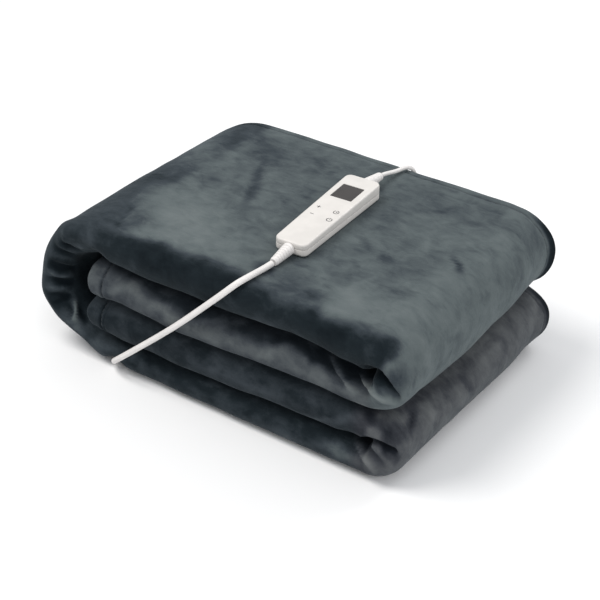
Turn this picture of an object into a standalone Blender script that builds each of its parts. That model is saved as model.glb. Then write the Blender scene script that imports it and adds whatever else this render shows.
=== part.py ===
"""Electric heated blanket: a plush throw folded into a four-deck stack, with its hand controller lying on top of it, the mains lead and the lead that joins the controller to the blanket.

Frame: metres, +Z up. The origin is on the resting surface under the middle of the stack. +X runs along the stack's long side, from the wide left fold to the two right folds, and +Y runs along the folds, from the neat front to the hems at the back.
"""

import math
from collections import namedtuple

import bmesh
import bpy
from mathutils import Matrix, Vector

# ------------------------------------------------------------------ the cloth
CLOTH = 0.0082  # plush face, wadding with the heating wires, plush back
PLY_GAP = 0.0009  # air between the plies of one deck
PLIES = 4  # the width is folded in half twice
DECK = PLIES * CLOTH + (PLIES - 1) * PLY_GAP
DECK_GAP = 0.0020  # air between two decks

# ------------------------------------------------------------------ the stack
LENGTH = 0.418  # along X
DEPTH = 0.288  # along Y
HEIGHT = 0.150
WIDE_FOLD_R = HEIGHT / 2  # the left fold goes round the two inner flaps
LOOP_R = (HEIGHT - DECK_GAP) / 4  # each right fold joins a flap to its outer deck
UPPER_FLAP_END = -0.1425
LOWER_FLAP_END = -0.1455
LOOP_SQUEEZE = 0.81  # the plies flatten where a deck turns back on itself
SQUEEZE_RUN = 0.032  # and ease back to their full loft over this length
HEM_BACK_1 = 0.1385  # the back edges of the first and second ply
HEM_BACK_2 = 0.1362

# the two rounded ends of the flaps: distance from the end, share of the full thickness
EndStep = namedtuple("EndStep", "inset share")
END_STEPS = (EndStep(0.0, 0.40), EndStep(0.0022, 0.68), EndStep(0.0062, 0.89), EndStep(0.0130, 1.0))

# the wide fold is drawn in a little at its lower corner
Pull = namedtuple("Pull", "degrees share")
WIDE_FOLD_SHAPE = (Pull(90, 1.0), Pull(140, 0.995), Pull(180, 1.0), Pull(212, 0.985), Pull(234, 0.958), Pull(252, 0.972), Pull(270, 1.0))

# soft hollows pressed into the top of the stack
Hollow = namedtuple("Hollow", "x y reach drop")
HOLLOWS = (
    Hollow(-0.100, 0.060, 0.060, 0.0016),
    Hollow(-0.060, -0.070, 0.045, 0.0012),
    Hollow(0.120, -0.020, 0.050, 0.0018),
    Hollow(0.140, 0.090, 0.055, 0.0022),
    Hollow(-0.175, 0.110, 0.060, 0.0040),
)
BACK_DROP = 0.0085  # how far the top deck's back edge rolls off
BACK_DROP_RUN = 0.036

# each deck's front edge sits a little differently
Lean = namedtuple("Lean", "deck back")
LEANS = (Lean("bottom", 0.0), Lean("lower flap", 0.0012), Lean("upper flap", 0.0004), Lean("top", 0.0))

# ------------------------------------------------------------------ the leads
LEAD_D = 0.0060
HEM_LEAD_D = 0.0042  # the lead from the controller to the hem is thinner
LEAD_CLEAR = 0.0004
TENT_X = -0.1204  # the mains lead passes under the stack along this line
TENT_RISE = 0.0074  # the cloth rises over it
TENT_REACH = 0.0092
TUCK = (-0.1025, -0.1474)  # seen from above, the lead starts to turn under the front edge here
TUCK_R = 0.0245
TUCK_SLANT = 0.73  # how much of its run is along X there

# ------------------------------------------------------------------ the controller
CTRL_X, CTRL_Y, CTRL_TURN = 0.0382, -0.0040, math.radians(3.5)
CTRL_LENGTH = 0.1350
CTRL_WIDTH_FRONT, CTRL_WIDTH_BACK = 0.0340, 0.0375
CTRL_BASE_Z = HEIGHT + 0.0004
CTRL_TOP_FRONT, CTRL_TOP_BACK = 0.1635, 0.1675
CTRL_SPLIT = 0.0072  # height of the lower half
CTRL_WALL = 0.0022
CTRL_CORNER = 0.0065
WINDOW_W, WINDOW_L, WINDOW_Y = 0.0225, 0.0255, 0.0345
FIT = 0.0003  # air between pieces that touch

# ------------------------------------------------------------------ reliefs, coil, plug
RELIEF_ROOT_R, RELIEF_TIP_R = 0.0060, 0.0039
RELIEF_LENGTH = 0.0255
RELIEF_RIBS = 5
RELIEF_SET_OFF = 0.0010  # the reliefs leave the housing at a slight angle
COIL_X, COIL_Y = -0.0783, 0.2120
COIL_INNER, COIL_OUTER = 0.0236, 0.0454
COIL_LOW, COIL_HIGH = 0.0014, 0.0140
TIE_T, TIE_W = 0.0008, 0.0090
PLUG_X, PLUG_BACK_Y, PLUG_Z = -0.0120, 0.2000, 0.0070
PLUG_BODY_L, PLUG_W, PLUG_T = 0.0340, 0.0353, 0.0137
PIN_R, PIN_L, PIN_PITCH = 0.0020, 0.0190, 0.0186
JOINER_X, JOINER_Y0, JOINER_Z = 0.0300, 0.1389, 0.0087
JOINER_W, JOINER_L, JOINER_T = 0.0340, 0.0330, 0.0130

COLLECTION = "electric_heated_blanket"


# ------------------------------------------------------------------ helpers
def clear_scene():
    for obj in list(bpy.data.objects):
        bpy.data.objects.remove(obj, do_unlink=True)
    parts = bpy.data.collections.new(COLLECTION)
    cutters = bpy.data.collections.new("cutters")
    bpy.context.scene.collection.children.link(parts)
    bpy.context.scene.collection.children.link(cutters)
    return parts, cutters


def material(name, colour, roughness, metallic=0.0):
    mat = bpy.data.materials.new(name)
    mat.use_nodes = True
    shader = mat.node_tree.nodes["Principled BSDF"]
    shader.inputs["Base Color"].default_value = (*colour, 1.0)
    shader.inputs["Roughness"].default_value = roughness
    shader.inputs["Metallic"].default_value = metallic
    mat.diffuse_color = (*colour, 1.0)
    return mat


def object_from(mesh_or_curve, name, collection, mat=None):
    obj = bpy.data.objects.new(name, mesh_or_curve)
    collection.objects.link(obj)
    if mat:
        obj.data.materials.append(mat)
    return obj


def as_cutter(obj):
    obj.hide_render = True
    obj.display_type = "WIRE"
    return obj


def cut(obj, cutter):
    mod = obj.modifiers.new("cut " + cutter.name, "BOOLEAN")
    mod.operation = "DIFFERENCE"
    mod.solver = "EXACT"
    mod.object = cutter
    return mod


def smoothstep(t):
    t = min(1.0, max(0.0, t))
    return t * t * (3 - 2 * t)


def between(table, key, value, at):
    """Smooth reading of a table whose rows are in order of their key column."""
    if at <= getattr(table[0], key):
        return getattr(table[0], value)
    for low, high in zip(table, table[1:]):
        a, b = getattr(low, key), getattr(high, key)
        if at <= b:
            return getattr(low, value) + (getattr(high, value) - getattr(low, value)) * smoothstep((at - a) / (b - a))
    return getattr(table[-1], value)


# ------------------------------------------------------------------ how the cloth is folded
Ply = namedtuple("Ply", "y depth along_y along_depth")  # a point on the middle of the cloth, and the way it runs there
Row = namedtuple("Row", "x z out_x out_z squeeze share")  # a line across the folded width, on the deck's outer face


def middle_of(ply):
    return CLOTH / 2 + (ply - 1) * (CLOTH + PLY_GAP)


def width_section():
    """The width of the blanket, folded in half twice. It starts at the hem of the first ply at the back, goes round the front to the fourth ply, back along the third, and ends at the hem of the second."""
    front = -DEPTH / 2 + DECK / 2
    wide, tight = DECK / 2 - CLOTH / 2, (CLOTH + PLY_GAP) / 2
    back = DEPTH / 2 - tight - CLOTH / 2
    d1, d2, d3, d4 = (middle_of(n) for n in (1, 2, 3, 4))
    section = [Ply(y, d1, -1, 0) for y in (HEM_BACK_1, 0.118, 0.060, -0.020, -0.085, front)]
    for k in range(1, 7):
        a = math.pi * k / 7
        section.append(Ply(front - wide * math.sin(a), DECK / 2 - wide * math.cos(a), -math.cos(a), math.sin(a)))
    section += [Ply(y, d4, 1, 0) for y in (front, 0.0, back)]
    for k in range(1, 4):
        a = math.pi * k / 4
        section.append(Ply(back + tight * math.sin(a), (d3 + d4) / 2 + tight * math.cos(a), math.cos(a), -math.sin(a)))
    section += [Ply(y, d3, -1, 0) for y in (back, 0.0, front)]
    for k in range(1, 4):
        a = math.pi * k / 4
        section.append(Ply(front - tight * math.sin(a), DECK / 2 + tight * math.cos(a), -math.cos(a), -math.sin(a)))
    section += [Ply(y, d2, 1, 0) for y in (front, 0.0, HEM_BACK_2)]
    return section


def squeeze_at(x, loop_x):
    return 1 - (1 - LOOP_SQUEEZE) * smoothstep((x - loop_x + SQUEEZE_RUN) / SQUEEZE_RUN)


def length_rows():
    """The length of the blanket: upper flap, right fold, top deck, wide left fold, bottom deck, right fold, lower flap."""
    loop_x = LENGTH / 2 - LOOP_R
    wide_x = -LENGTH / 2 + WIDE_FOLD_R
    upper = HEIGHT / 2 + DECK_GAP / 2
    lower = HEIGHT / 2 - DECK_GAP / 2
    rows = []

    def flap(end, z, out_z):
        made = [Row(end + step.inset, z, 0, out_z, 1.0, step.share) for step in END_STEPS]
        for x in (-0.085, -0.030, 0.030, 0.085, loop_x - 0.040, loop_x - 0.027, loop_x - 0.016, loop_x - 0.007):
            made.append(Row(x, z, 0, out_z, squeeze_at(x, loop_x), 1.0))
        return made

    def loop(z):
        turn = [math.radians(-90 + 180 * k / 9) for k in range(10)]
        return [Row(loop_x + LOOP_R * math.cos(a), z + LOOP_R * math.sin(a), math.cos(a), math.sin(a), LOOP_SQUEEZE, 1.0) for a in turn]

    rows += flap(UPPER_FLAP_END, upper, -1)
    rows += loop(upper + LOOP_R)
    for x in (loop_x - 0.007, loop_x - 0.016, loop_x - 0.027, loop_x - 0.040, 0.095, 0.060, 0.030, 0.0, -0.040, -0.085):
        rows.append(Row(x, HEIGHT, 0, 1, squeeze_at(x, loop_x), 1.0))
    for degrees in (90, 104, 118, 132, 146, 160, 173, 187, 200, 214, 228, 241, 252, 262):
        a = math.radians(degrees)
        r = WIDE_FOLD_R * between(WIDE_FOLD_SHAPE, "degrees", "share", degrees)
        rows.append(Row(wide_x + r * math.cos(a), HEIGHT / 2 + r * math.sin(a), math.cos(a), math.sin(a), 1.0, 1.0))
    under = (wide_x, -0.1275, TENT_X - 0.0032, TENT_X, TENT_X + 0.0032, -0.1125, -0.107, -0.102, -0.094, -0.060, -0.010, 0.040, 0.090, loop_x - 0.040, loop_x - 0.027, loop_x - 0.016, loop_x - 0.007)
    for x in under:
        rows.append(Row(x, 0.0, 0, -1, squeeze_at(x, loop_x), 1.0))
    rows += loop(LOOP_R)
    rows += flap(LOWER_FLAP_END, lower, 1)[::-1]
    return rows


def tuck_x(y):
    """Where the mains lead is, seen from above, as it turns under the front edge."""
    share = min(1.0, max(0.0, (y - TUCK[1]) / TUCK_R))
    return TUCK[0] - TUCK_SLANT * TUCK_R * math.sqrt(1 - (1 - share) ** 2)


def settle(p):
    """The stack's own unevenness. The underside stays flat, except where it rises over the mains lead."""
    x, y, z = p
    up = z / HEIGHT
    drop = sum(h.drop * math.exp(-((x - h.x) ** 2 + (y - h.y) ** 2) / h.reach**2) for h in HOLLOWS)
    drop += BACK_DROP * max(0.0, (y - DEPTH / 2 + BACK_DROP_RUN) / BACK_DROP_RUN) ** 2.2
    at_front = smoothstep((-y - 0.085) / 0.055)
    deck = 4 * z / HEIGHT - 0.5
    low = int(min(2, max(0, math.floor(deck))))
    mix = smoothstep(deck - low)
    y += at_front * (LEANS[low].back * (1 - mix) + LEANS[low + 1].back * mix)
    rise = TENT_RISE * math.exp(-(((x - tuck_x(y)) / TENT_REACH) ** 2)) * (1 - smoothstep(z / 0.034))
    return Vector((x, y, z - drop * up * up + rise))


def folded_point(row, y, depth):
    depth = row.squeeze * (DECK / 2 + (depth - DECK / 2) * row.share)
    return settle((row.x - row.out_x * depth, y, row.z - row.out_z * depth))


def make_blanket(parts, mat):
    """One sheet, lofted along its length: its section is thinner round the right folds and rounded at the flaps' ends."""
    section, rows = width_section(), length_rows()
    bm = bmesh.new()
    faces_of_row = []
    for row in rows:
        sides = []
        for side in (1, -1):
            off = side * CLOTH / 2
            sides.append([bm.verts.new(folded_point(row, p.y - p.along_depth * off, p.depth + p.along_y * off)) for p in section])
        faces_of_row.append(sides)
    last = len(section) - 1
    for one, two in zip(faces_of_row, faces_of_row[1:]):
        for side in (0, 1):
            for k in range(last):
                bm.faces.new((one[side][k], one[side][k + 1], two[side][k + 1], two[side][k]))
        for k in (0, last):
            bm.faces.new((one[0][k], one[1][k], two[1][k], two[0][k]))
    for sides in (faces_of_row[0], faces_of_row[-1]):
        for k in range(last):
            bm.faces.new((sides[0][k], sides[0][k + 1], sides[1][k + 1], sides[1][k]))
    bmesh.ops.recalc_face_normals(bm, faces=bm.faces)
    bmesh.ops.triangulate(bm, faces=bm.faces)
    mesh = bpy.data.meshes.new("blanket")
    bm.to_mesh(mesh)
    bm.free()
    mesh.shade_smooth()
    return object_from(mesh, "blanket", parts, mat)


# ------------------------------------------------------------------ smooth routes for the leads
def smooth_route(knots, spacing):
    """Points a little under the spacing apart, read from one cubic spline with continuous curvature through the knots."""
    pts = [Vector(k) for k in knots]
    n = len(pts)
    t = [0.0]
    for a, b in zip(pts, pts[1:]):
        t.append(t[-1] + (b - a).length)
    bends = []
    for axis in range(3):
        lower, diag, upper, right = [0.0] * n, [1.0] * n, [0.0] * n, [0.0] * n
        for i in range(1, n - 1):
            h0, h1 = t[i] - t[i - 1], t[i + 1] - t[i]
            lower[i], diag[i], upper[i] = h0, 2 * (h0 + h1), h1
            right[i] = 6 * ((pts[i + 1][axis] - pts[i][axis]) / h1 - (pts[i][axis] - pts[i - 1][axis]) / h0)
        for i in range(1, n):
            w = lower[i] / diag[i - 1]
            diag[i] -= w * upper[i - 1]
            right[i] -= w * right[i - 1]
        m = [0.0] * n
        m[-1] = right[-1] / diag[-1]
        for i in range(n - 2, -1, -1):
            m[i] = (right[i] - upper[i] * m[i + 1]) / diag[i]
        bends.append(m)
    count = max(2, math.ceil(t[-1] / spacing))
    out, seg = [], 0
    for k in range(count + 1):
        s = t[-1] * k / count
        while seg < n - 2 and s > t[seg + 1]:
            seg += 1
        h = t[seg + 1] - t[seg]
        a, b = (t[seg + 1] - s) / h, (s - t[seg]) / h
        out.append(
            Vector(
                a * pts[seg][i] + b * pts[seg + 1][i] + ((a**3 - a) * bends[i][seg] + (b**3 - b) * bends[i][seg + 1]) * h * h / 6
                for i in range(3)
            )
        )
    return out


def mains_lead_knots():
    """From the front relief over the top deck's front edge, slanting down the front against the decks, under the bottom deck and out at the back to the coil."""
    floor = LEAD_D / 2 + LEAD_CLEAR
    return [
        (0.0432, -0.0988, 0.1541),
        (0.0425, -0.1055, 0.1537),
        (0.0409, -0.1189, 0.1536),
        (0.0392, -0.1287, 0.1532),
        (0.0347, -0.1382, 0.1500),
        (0.0270, -0.1457, 0.1421),
        (0.0152, -0.1475, 0.1300),
        (-0.0282, -0.1477, 0.0868),
        (-0.0739, -0.1477, 0.0449),
        (-0.1027, -0.1488, 0.0196),
        (-0.1113, -0.1445, 0.0116),
        (-0.1174, -0.1350, 0.0052),
        (TENT_X, -0.1229, floor),
        (TENT_X, -0.1000, floor),
        (TENT_X, -0.0300, floor),
        (TENT_X, 0.0600, floor),
        (TENT_X, 0.1400, floor),
        (TENT_X, 0.1650, floor + 0.0006),
        (TENT_X + 0.0001, COIL_Y - 0.0231, floor + 0.0010),
    ]


def mains_tail_knots():
    """From the coil round to the plug that lies beside it."""
    edge = COIL_Y + 0.0421
    return [
        (COIL_X + 0.0238, edge - 0.0002, 0.0099),
        (COIL_X + 0.0310, edge - 0.0001, 0.0096),
        (PLUG_X - 0.0261, edge, 0.0093),
        (PLUG_X - 0.0076, edge - 0.0082, 0.0078),
        (PLUG_X - 0.0010, edge - 0.0190, 0.0073),
        (PLUG_X, PLUG_BACK_Y + RELIEF_LENGTH + 0.0040, PLUG_Z),
        (PLUG_X, PLUG_BACK_Y + RELIEF_LENGTH + 2 * FIT, PLUG_Z),
    ]


def blanket_lead_knots():
    """From the back relief over the top deck's back edge, slanting down behind the stack and round on the surface into the joiner at the hem."""
    return [
        (0.0351, 0.0911, 0.1586),
        (0.0357, 0.0985, 0.1573),
        (0.0366, 0.1085, 0.1550),
        (0.0375, 0.1180, 0.1533),
        (0.0383, 0.1260, 0.1524),
        (0.0392, 0.1335, 0.1504),
        (0.0401, 0.1405, 0.1459),
        (0.0410, 0.1447, 0.1382),
        (0.0420, 0.1472, 0.1280),
        (0.0440, 0.1479, 0.1150),
        (0.0500, 0.1480, 0.0960),
        (0.0605, 0.1480, 0.0750),
        (0.0722, 0.1481, 0.0560),
        (0.0812, 0.1488, 0.0390),
        (0.0856, 0.1522, 0.0230),
        (0.0868, 0.1602, 0.0103),
        (0.0872, 0.1735, 0.0033),
        (0.0873, 0.1929, 0.0029),
        (0.0848, 0.2078, 0.0025),
        (0.0742, 0.2220, 0.0029),
        (0.0581, 0.2273, 0.0036),
        (0.0430, 0.2225, 0.0062),
        (0.0331, 0.2103, 0.0080),
        (JOINER_X + 0.0002, 0.2000, 0.0086),
        (JOINER_X, JOINER_Y0 + JOINER_L + RELIEF_LENGTH * 0.85 + 3 * FIT, JOINER_Z),
    ]


def make_lead(name, knots, parts, mat, spacing=2 * LEAD_D, thickness=LEAD_D):
    curve = bpy.data.curves.new(name, "CURVE")
    curve.dimensions = "3D"
    curve.bevel_depth = thickness / 2
    curve.bevel_resolution = 2
    curve.use_fill_caps = True
    spline = curve.splines.new("POLY")
    route = smooth_route(knots, spacing)
    spline.points.add(len(route) - 1)
    for point, at in zip(spline.points, route):
        point.co = (*at, 1.0)
    return object_from(curve, name, parts, mat)


# ------------------------------------------------------------------ turned pieces
def turned(name, profile, parts, mat, steps=12):
    """A profile in the XZ plane, from the top down its outer side, turned about Z."""
    bm = bmesh.new()
    verts = [bm.verts.new((r, 0, z)) for r, z in profile]
    for a, b in zip(verts, verts[1:]):
        bm.edges.new((a, b))
    mesh = bpy.data.meshes.new(name)
    bm.to_mesh(mesh)
    bm.free()
    obj = object_from(mesh, name, parts, mat)
    screw = obj.modifiers.new("turn", "SCREW")
    screw.axis = "Z"
    screw.steps = screw.render_steps = steps
    screw.use_merge_vertices = True
    screw.merge_threshold = 0.00002
    screw.use_smooth_shade = True
    return obj


def aim(obj, at, towards):
    """Puts the piece's own +Z along the given direction."""
    obj.matrix_world = Matrix.Translation(at) @ Vector(towards).normalized().to_track_quat("Z", "Y").to_matrix().to_4x4()
    return obj


def make_relief(name, at, towards, parts, mat, length=RELIEF_LENGTH):
    """A ribbed cone of soft plastic: a collar, then ribs that get smaller towards the lead."""
    profile = [(0.0, length), (RELIEF_TIP_R, length)]
    for k in range(RELIEF_RIBS):
        top = 0.94 - 0.74 * k / RELIEF_RIBS
        r = RELIEF_TIP_R + (RELIEF_ROOT_R - RELIEF_TIP_R) * (1 - top)
        profile += [(r, length * top), (r - 0.0007, length * (top - 0.030)), (r - 0.0006, length * (top - 0.075)), (r + 0.0002, length * (top - 0.100))]
    profile += [(RELIEF_ROOT_R, length * 0.14), (RELIEF_ROOT_R, 0.0), (0.0, 0.0)]
    return aim(turned(name, profile, parts, mat), at, towards)


# ------------------------------------------------------------------ the controller
def controller_block(name, collection, mat, low, high_front, high_back, inset, corner):
    """A tapered block in the controller's own place: narrower at the front, its top sloping down towards the front."""
    bpy.ops.mesh.primitive_cube_add(size=1)
    obj = bpy.context.active_object
    for used in list(obj.users_collection):
        used.objects.unlink(obj)
    collection.objects.link(obj)
    obj.name = obj.data.name = name
    for v in obj.data.vertices:
        back = v.co.y > 0
        width = (CTRL_WIDTH_BACK if back else CTRL_WIDTH_FRONT) - 2 * inset
        length = CTRL_LENGTH - 2 * inset
        high = high_back if back else high_front
        v.co = (math.copysign(width / 2, v.co.x), math.copysign(length / 2, v.co.y), high if v.co.z > 0 else low)
    bm = bmesh.new()
    bm.from_mesh(obj.data)
    upright = [e for e in bm.edges if abs(e.verts[0].co.z - e.verts[1].co.z) > 0.5 * (high_front - low) and abs(e.verts[0].co.x - e.verts[1].co.x) < 1e-6]
    bmesh.ops.bevel(bm, geom=upright, offset=corner, segments=5, profile=0.5, affect="EDGES", clamp_overlap=True)
    bm.to_mesh(obj.data)
    bm.free()
    obj.matrix_world = Matrix.Translation((CTRL_X, CTRL_Y, CTRL_BASE_Z)) @ Matrix.Rotation(CTRL_TURN, 4, "Z")
    if mat:
        obj.data.materials.append(mat)
    return obj


def round_rim(obj, width, lowest):
    """Rounds the outer rim at the top or at the bottom of a controller half."""
    bm = bmesh.new()
    bm.from_mesh(obj.data)
    zs = [v.co.z for v in bm.verts]
    middle = (min(zs) + max(zs)) / 2
    faces = [f for f in bm.faces if abs(f.normal.z) > 0.7 and ((f.calc_center_median().z < middle) == lowest)]
    rim = {e for f in faces for e in f.edges}
    bmesh.ops.bevel(bm, geom=list(rim), offset=width, segments=3, profile=0.5, affect="EDGES", clamp_overlap=True)
    bm.to_mesh(obj.data)
    bm.free()


def controller_point(x, y, z):
    return Matrix.Translation((CTRL_X, CTRL_Y, CTRL_BASE_Z)) @ Matrix.Rotation(CTRL_TURN, 4, "Z") @ Vector((x, y, z))


def make_controller(parts, cutters, shell, dark, soft):
    front, back = CTRL_TOP_FRONT - CTRL_BASE_Z, CTRL_TOP_BACK - CTRL_BASE_Z
    base = controller_block("controller_base", parts, shell, 0.0, CTRL_SPLIT, CTRL_SPLIT, 0.0, CTRL_CORNER)
    round_rim(base, 0.0030, True)
    hollow = as_cutter(controller_block("base_hollow", cutters, None, CTRL_WALL, CTRL_SPLIT + 0.004, CTRL_SPLIT + 0.004, CTRL_WALL, CTRL_CORNER - CTRL_WALL))
    cut(base, hollow)
    cover = controller_block("controller_cover", parts, shell, CTRL_SPLIT + FIT, front, back, 0.0, CTRL_CORNER)
    round_rim(cover, 0.0016, False)
    hollow = as_cutter(controller_block("cover_hollow", cutters, None, CTRL_SPLIT - 0.004, front - CTRL_WALL, back - CTRL_WALL, CTRL_WALL, CTRL_CORNER - CTRL_WALL))
    cut(cover, hollow)

    slope = math.atan2(back - front, CTRL_LENGTH)
    top_at = front + (back - front) * (WINDOW_Y + CTRL_LENGTH / 2) / CTRL_LENGTH

    def window_block(name, collection, grow, deep, proud):
        bpy.ops.mesh.primitive_cube_add(size=1)
        obj = bpy.context.active_object
        for used in list(obj.users_collection):
            used.objects.unlink(obj)
        collection.objects.link(obj)
        obj.name = obj.data.name = name
        for v in obj.data.vertices:
            v.co = (math.copysign(WINDOW_W / 2 + grow, v.co.x), math.copysign(WINDOW_L / 2 + grow, v.co.y), proud if v.co.z > 0 else -deep)
        obj.matrix_world = Matrix.Translation(controller_point(0, WINDOW_Y, top_at)) @ Matrix.Rotation(CTRL_TURN, 4, "Z") @ Matrix.Rotation(slope, 4, "X")
        return obj

    cut(cover, as_cutter(window_block("window_opening", cutters, FIT, CTRL_WALL + 0.002, 0.002)))
    window = window_block("display_window", parts, 0.0, CTRL_WALL - 0.0002, -0.0002)
    window.data.materials.append(dark)

    spin = Matrix.Rotation(CTRL_TURN, 3, "Z")
    make_relief("relief_front", controller_point(0, -CTRL_LENGTH / 2 - RELIEF_SET_OFF, 0.0062), spin @ Vector((-0.025, -1.0, -0.094)), parts, soft)
    make_relief("relief_back", controller_point(0, CTRL_LENGTH / 2 + RELIEF_SET_OFF, 0.0090), spin @ Vector((0.105, 1.0, -0.031)), parts, soft)
    return base, cover, window


# ------------------------------------------------------------------ coil, tie, plug and joiner
def make_coil(parts, mat, band_mat):
    """The wound length of the mains lead, as the outer shape of its turns, and the band that holds it."""
    r0, r1, z0, z1, c = COIL_INNER, COIL_OUTER, COIL_LOW, COIL_HIGH, 0.0025
    bevel = [(r0 + c, z1), (r1 - c, z1), (r1 - 0.3 * c, z1 - 0.3 * c), (r1, z1 - c), (r1, z0 + c), (r1 - 0.3 * c, z0 + 0.3 * c), (r1 - c, z0), (r0 + c, z0), (r0 + 0.3 * c, z0 + 0.3 * c), (r0, z0 + c), (r0, z1 - c), (r0 + 0.3 * c, z1 - 0.3 * c), (r0 + c, z1)]
    ring = turned("mains_lead_coil", bevel, parts, mat, steps=40)
    ring.location = (COIL_X, COIL_Y, 0.0)

    # the band is a flat closed loop round the ring's section, at the side nearest the stack
    bpy.ops.mesh.primitive_cube_add(size=1)
    band = bpy.context.active_object
    for used in list(band.users_collection):
        used.objects.unlink(band)
    parts.objects.link(band)
    band.name = band.data.name = "coil_tie"
    grow = FIT + TIE_T
    for v in band.data.vertices:
        v.co = (math.copysign(TIE_W / 2, v.co.x), (r1 + grow + 0.0005) if v.co.y > 0 else (r0 - grow - 0.0010), (z1 + grow) if v.co.z > 0 else (z0 - grow))
    band.data.materials.append(band_mat)
    band.location = (COIL_X, COIL_Y, 0.0)
    band.rotation_euler = (0.0, 0.0, math.radians(-40))
    bpy.ops.mesh.primitive_cube_add(size=1)
    hole = bpy.context.active_object
    for used in list(hole.users_collection):
        used.objects.unlink(hole)
    bpy.data.collections["cutters"].objects.link(hole)
    hole.name = hole.data.name = "tie_opening"
    for v in hole.data.vertices:
        v.co = (math.copysign(TIE_W, v.co.x), (r1 + FIT + 0.0005) if v.co.y > 0 else (r0 - FIT - 0.0010), (z1 + FIT) if v.co.z > 0 else (z0 - FIT))
    hole.location, hole.rotation_euler = band.location.copy(), band.rotation_euler.copy()
    cut(band, as_cutter(hole))
    return ring


def rounded_block(name, parts, mat, size, at, bevel, narrow=1.0):
    """A bevelled block, narrowed towards +Y by the given share."""
    bpy.ops.mesh.primitive_cube_add(size=1)
    obj = bpy.context.active_object
    for used in list(obj.users_collection):
        used.objects.unlink(obj)
    parts.objects.link(obj)
    obj.name = obj.data.name = name
    for v in obj.data.vertices:
        share = narrow if v.co.y > 0 else 1.0
        v.co = (v.co.x * size[0] * share, v.co.y * size[1], v.co.z * size[2])
    obj.location = at
    mod = obj.modifiers.new("rounded edges", "BEVEL")
    mod.width = bevel
    mod.segments = 3
    mod.limit_method = "ANGLE"
    obj.data.materials.append(mat)
    return obj


def make_plug(parts, shell, brass, soft):
    body_y = PLUG_BACK_Y - PLUG_BODY_L / 2
    rounded_block("plug_body", parts, shell, (PLUG_W, PLUG_BODY_L, PLUG_T), (PLUG_X, body_y, PLUG_Z), 0.0030, 0.72)
    make_relief("plug_relief", (PLUG_X, PLUG_BACK_Y + FIT, PLUG_Z), (0, 1, 0), parts, soft)
    for name, side in (("plug_pin_left", -1), ("plug_pin_right", 1)):
        profile = [(0.0, PIN_L), (PIN_R * 0.6, PIN_L), (PIN_R, PIN_L - 0.0012), (PIN_R, 0.0), (0.0, 0.0)]
        aim(turned(name, profile, parts, brass, steps=12), (PLUG_X + side * PIN_PITCH / 2, PLUG_BACK_Y - PLUG_BODY_L - FIT, PLUG_Z), (0, -1, 0))


def make_joiner(parts, shell, soft):
    rounded_block("blanket_joiner", parts, shell, (JOINER_W, JOINER_L, JOINER_T), (JOINER_X, JOINER_Y0 + JOINER_L / 2, JOINER_Z), 0.0028, 0.80)
    make_relief("joiner_relief", (JOINER_X, JOINER_Y0 + JOINER_L + FIT, JOINER_Z), (0, 1, 0), parts, soft, RELIEF_LENGTH * 0.85)


# ------------------------------------------------------------------ build
def build():
    parts, cutters = clear_scene()
    plush = material("slate_plush", (0.055, 0.075, 0.088), 0.95)
    white = material("white_housing", (0.80, 0.79, 0.77), 0.42)
    soft = material("white_soft_plastic", (0.80, 0.78, 0.76), 0.55)
    dark = material("display_dark", (0.045, 0.038, 0.034), 0.18)
    brass = material("nickelled_brass", (0.75, 0.70, 0.60), 0.28, 1.0)
    band = material("black_band", (0.03, 0.03, 0.03), 0.7)
    make_blanket(parts, plush)
    make_controller(parts, cutters, white, dark, soft)
    make_lead("mains_lead", mains_lead_knots(), parts, soft)
    make_coil(parts, soft, band)
    make_lead("mains_lead_tail", mains_tail_knots(), parts, soft, 0.009)
    make_plug(parts, white, brass, soft)
    make_lead("blanket_lead", blanket_lead_knots(), parts, soft, 0.009, HEM_LEAD_D)
    make_joiner(parts, white, soft)


build()
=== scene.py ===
"""Looks of the folded electric heated blanket: the plush throw as one fine sheet on the solid's folds, the hand controller, its reliefs, the mains lead with its coil and plug, and the lead into the hem."""

import math
from collections import namedtuple

import bmesh
import bpy
import numpy as np
from mathutils import Matrix, Vector


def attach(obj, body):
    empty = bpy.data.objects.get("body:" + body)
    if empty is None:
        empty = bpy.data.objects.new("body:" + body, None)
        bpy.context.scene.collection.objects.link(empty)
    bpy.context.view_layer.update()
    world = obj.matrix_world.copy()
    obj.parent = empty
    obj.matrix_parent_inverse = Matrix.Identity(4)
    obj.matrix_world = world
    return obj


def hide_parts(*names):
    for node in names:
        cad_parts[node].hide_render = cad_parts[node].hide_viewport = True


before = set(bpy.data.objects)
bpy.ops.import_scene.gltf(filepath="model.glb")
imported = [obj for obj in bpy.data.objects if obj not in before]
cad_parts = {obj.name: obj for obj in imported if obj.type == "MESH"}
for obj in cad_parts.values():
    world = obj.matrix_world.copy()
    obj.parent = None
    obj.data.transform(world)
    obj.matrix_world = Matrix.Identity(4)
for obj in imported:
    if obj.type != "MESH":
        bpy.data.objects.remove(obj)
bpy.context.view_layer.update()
MM = 0.001

# ---------------------------------------------------------------- sizes shared with the solids
CLOTH, PLY_GAP, PLIES, DECK_GAP = 0.0082, 0.0009, 4, 0.0020
DECK = PLIES * CLOTH + (PLIES - 1) * PLY_GAP
LENGTH, DEPTH, HEIGHT = 0.418, 0.288, 0.150
WIDE_R = HEIGHT / 2
LOOP_R = (HEIGHT - DECK_GAP) / 4
UPPER_END, LOWER_END = -0.1425, -0.1455
LOOP_SQUEEZE, SQUEEZE_RUN = 0.81, 0.032
HEM_1, HEM_2 = 0.1385, 0.1362
LEAD_D, LEAD_CLEAR = 0.0060, 0.0004
HEM_LEAD_D = 0.0042
TENT_X, TENT_RISE, TENT_REACH = -0.1204, 0.0074, 0.0092
TUCK, TUCK_R, TUCK_SLANT = (-0.1025, -0.1474), 0.0245, 0.73
CTRL_X, CTRL_Y, CTRL_TURN = 0.0382, -0.0040, math.radians(3.5)
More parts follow.
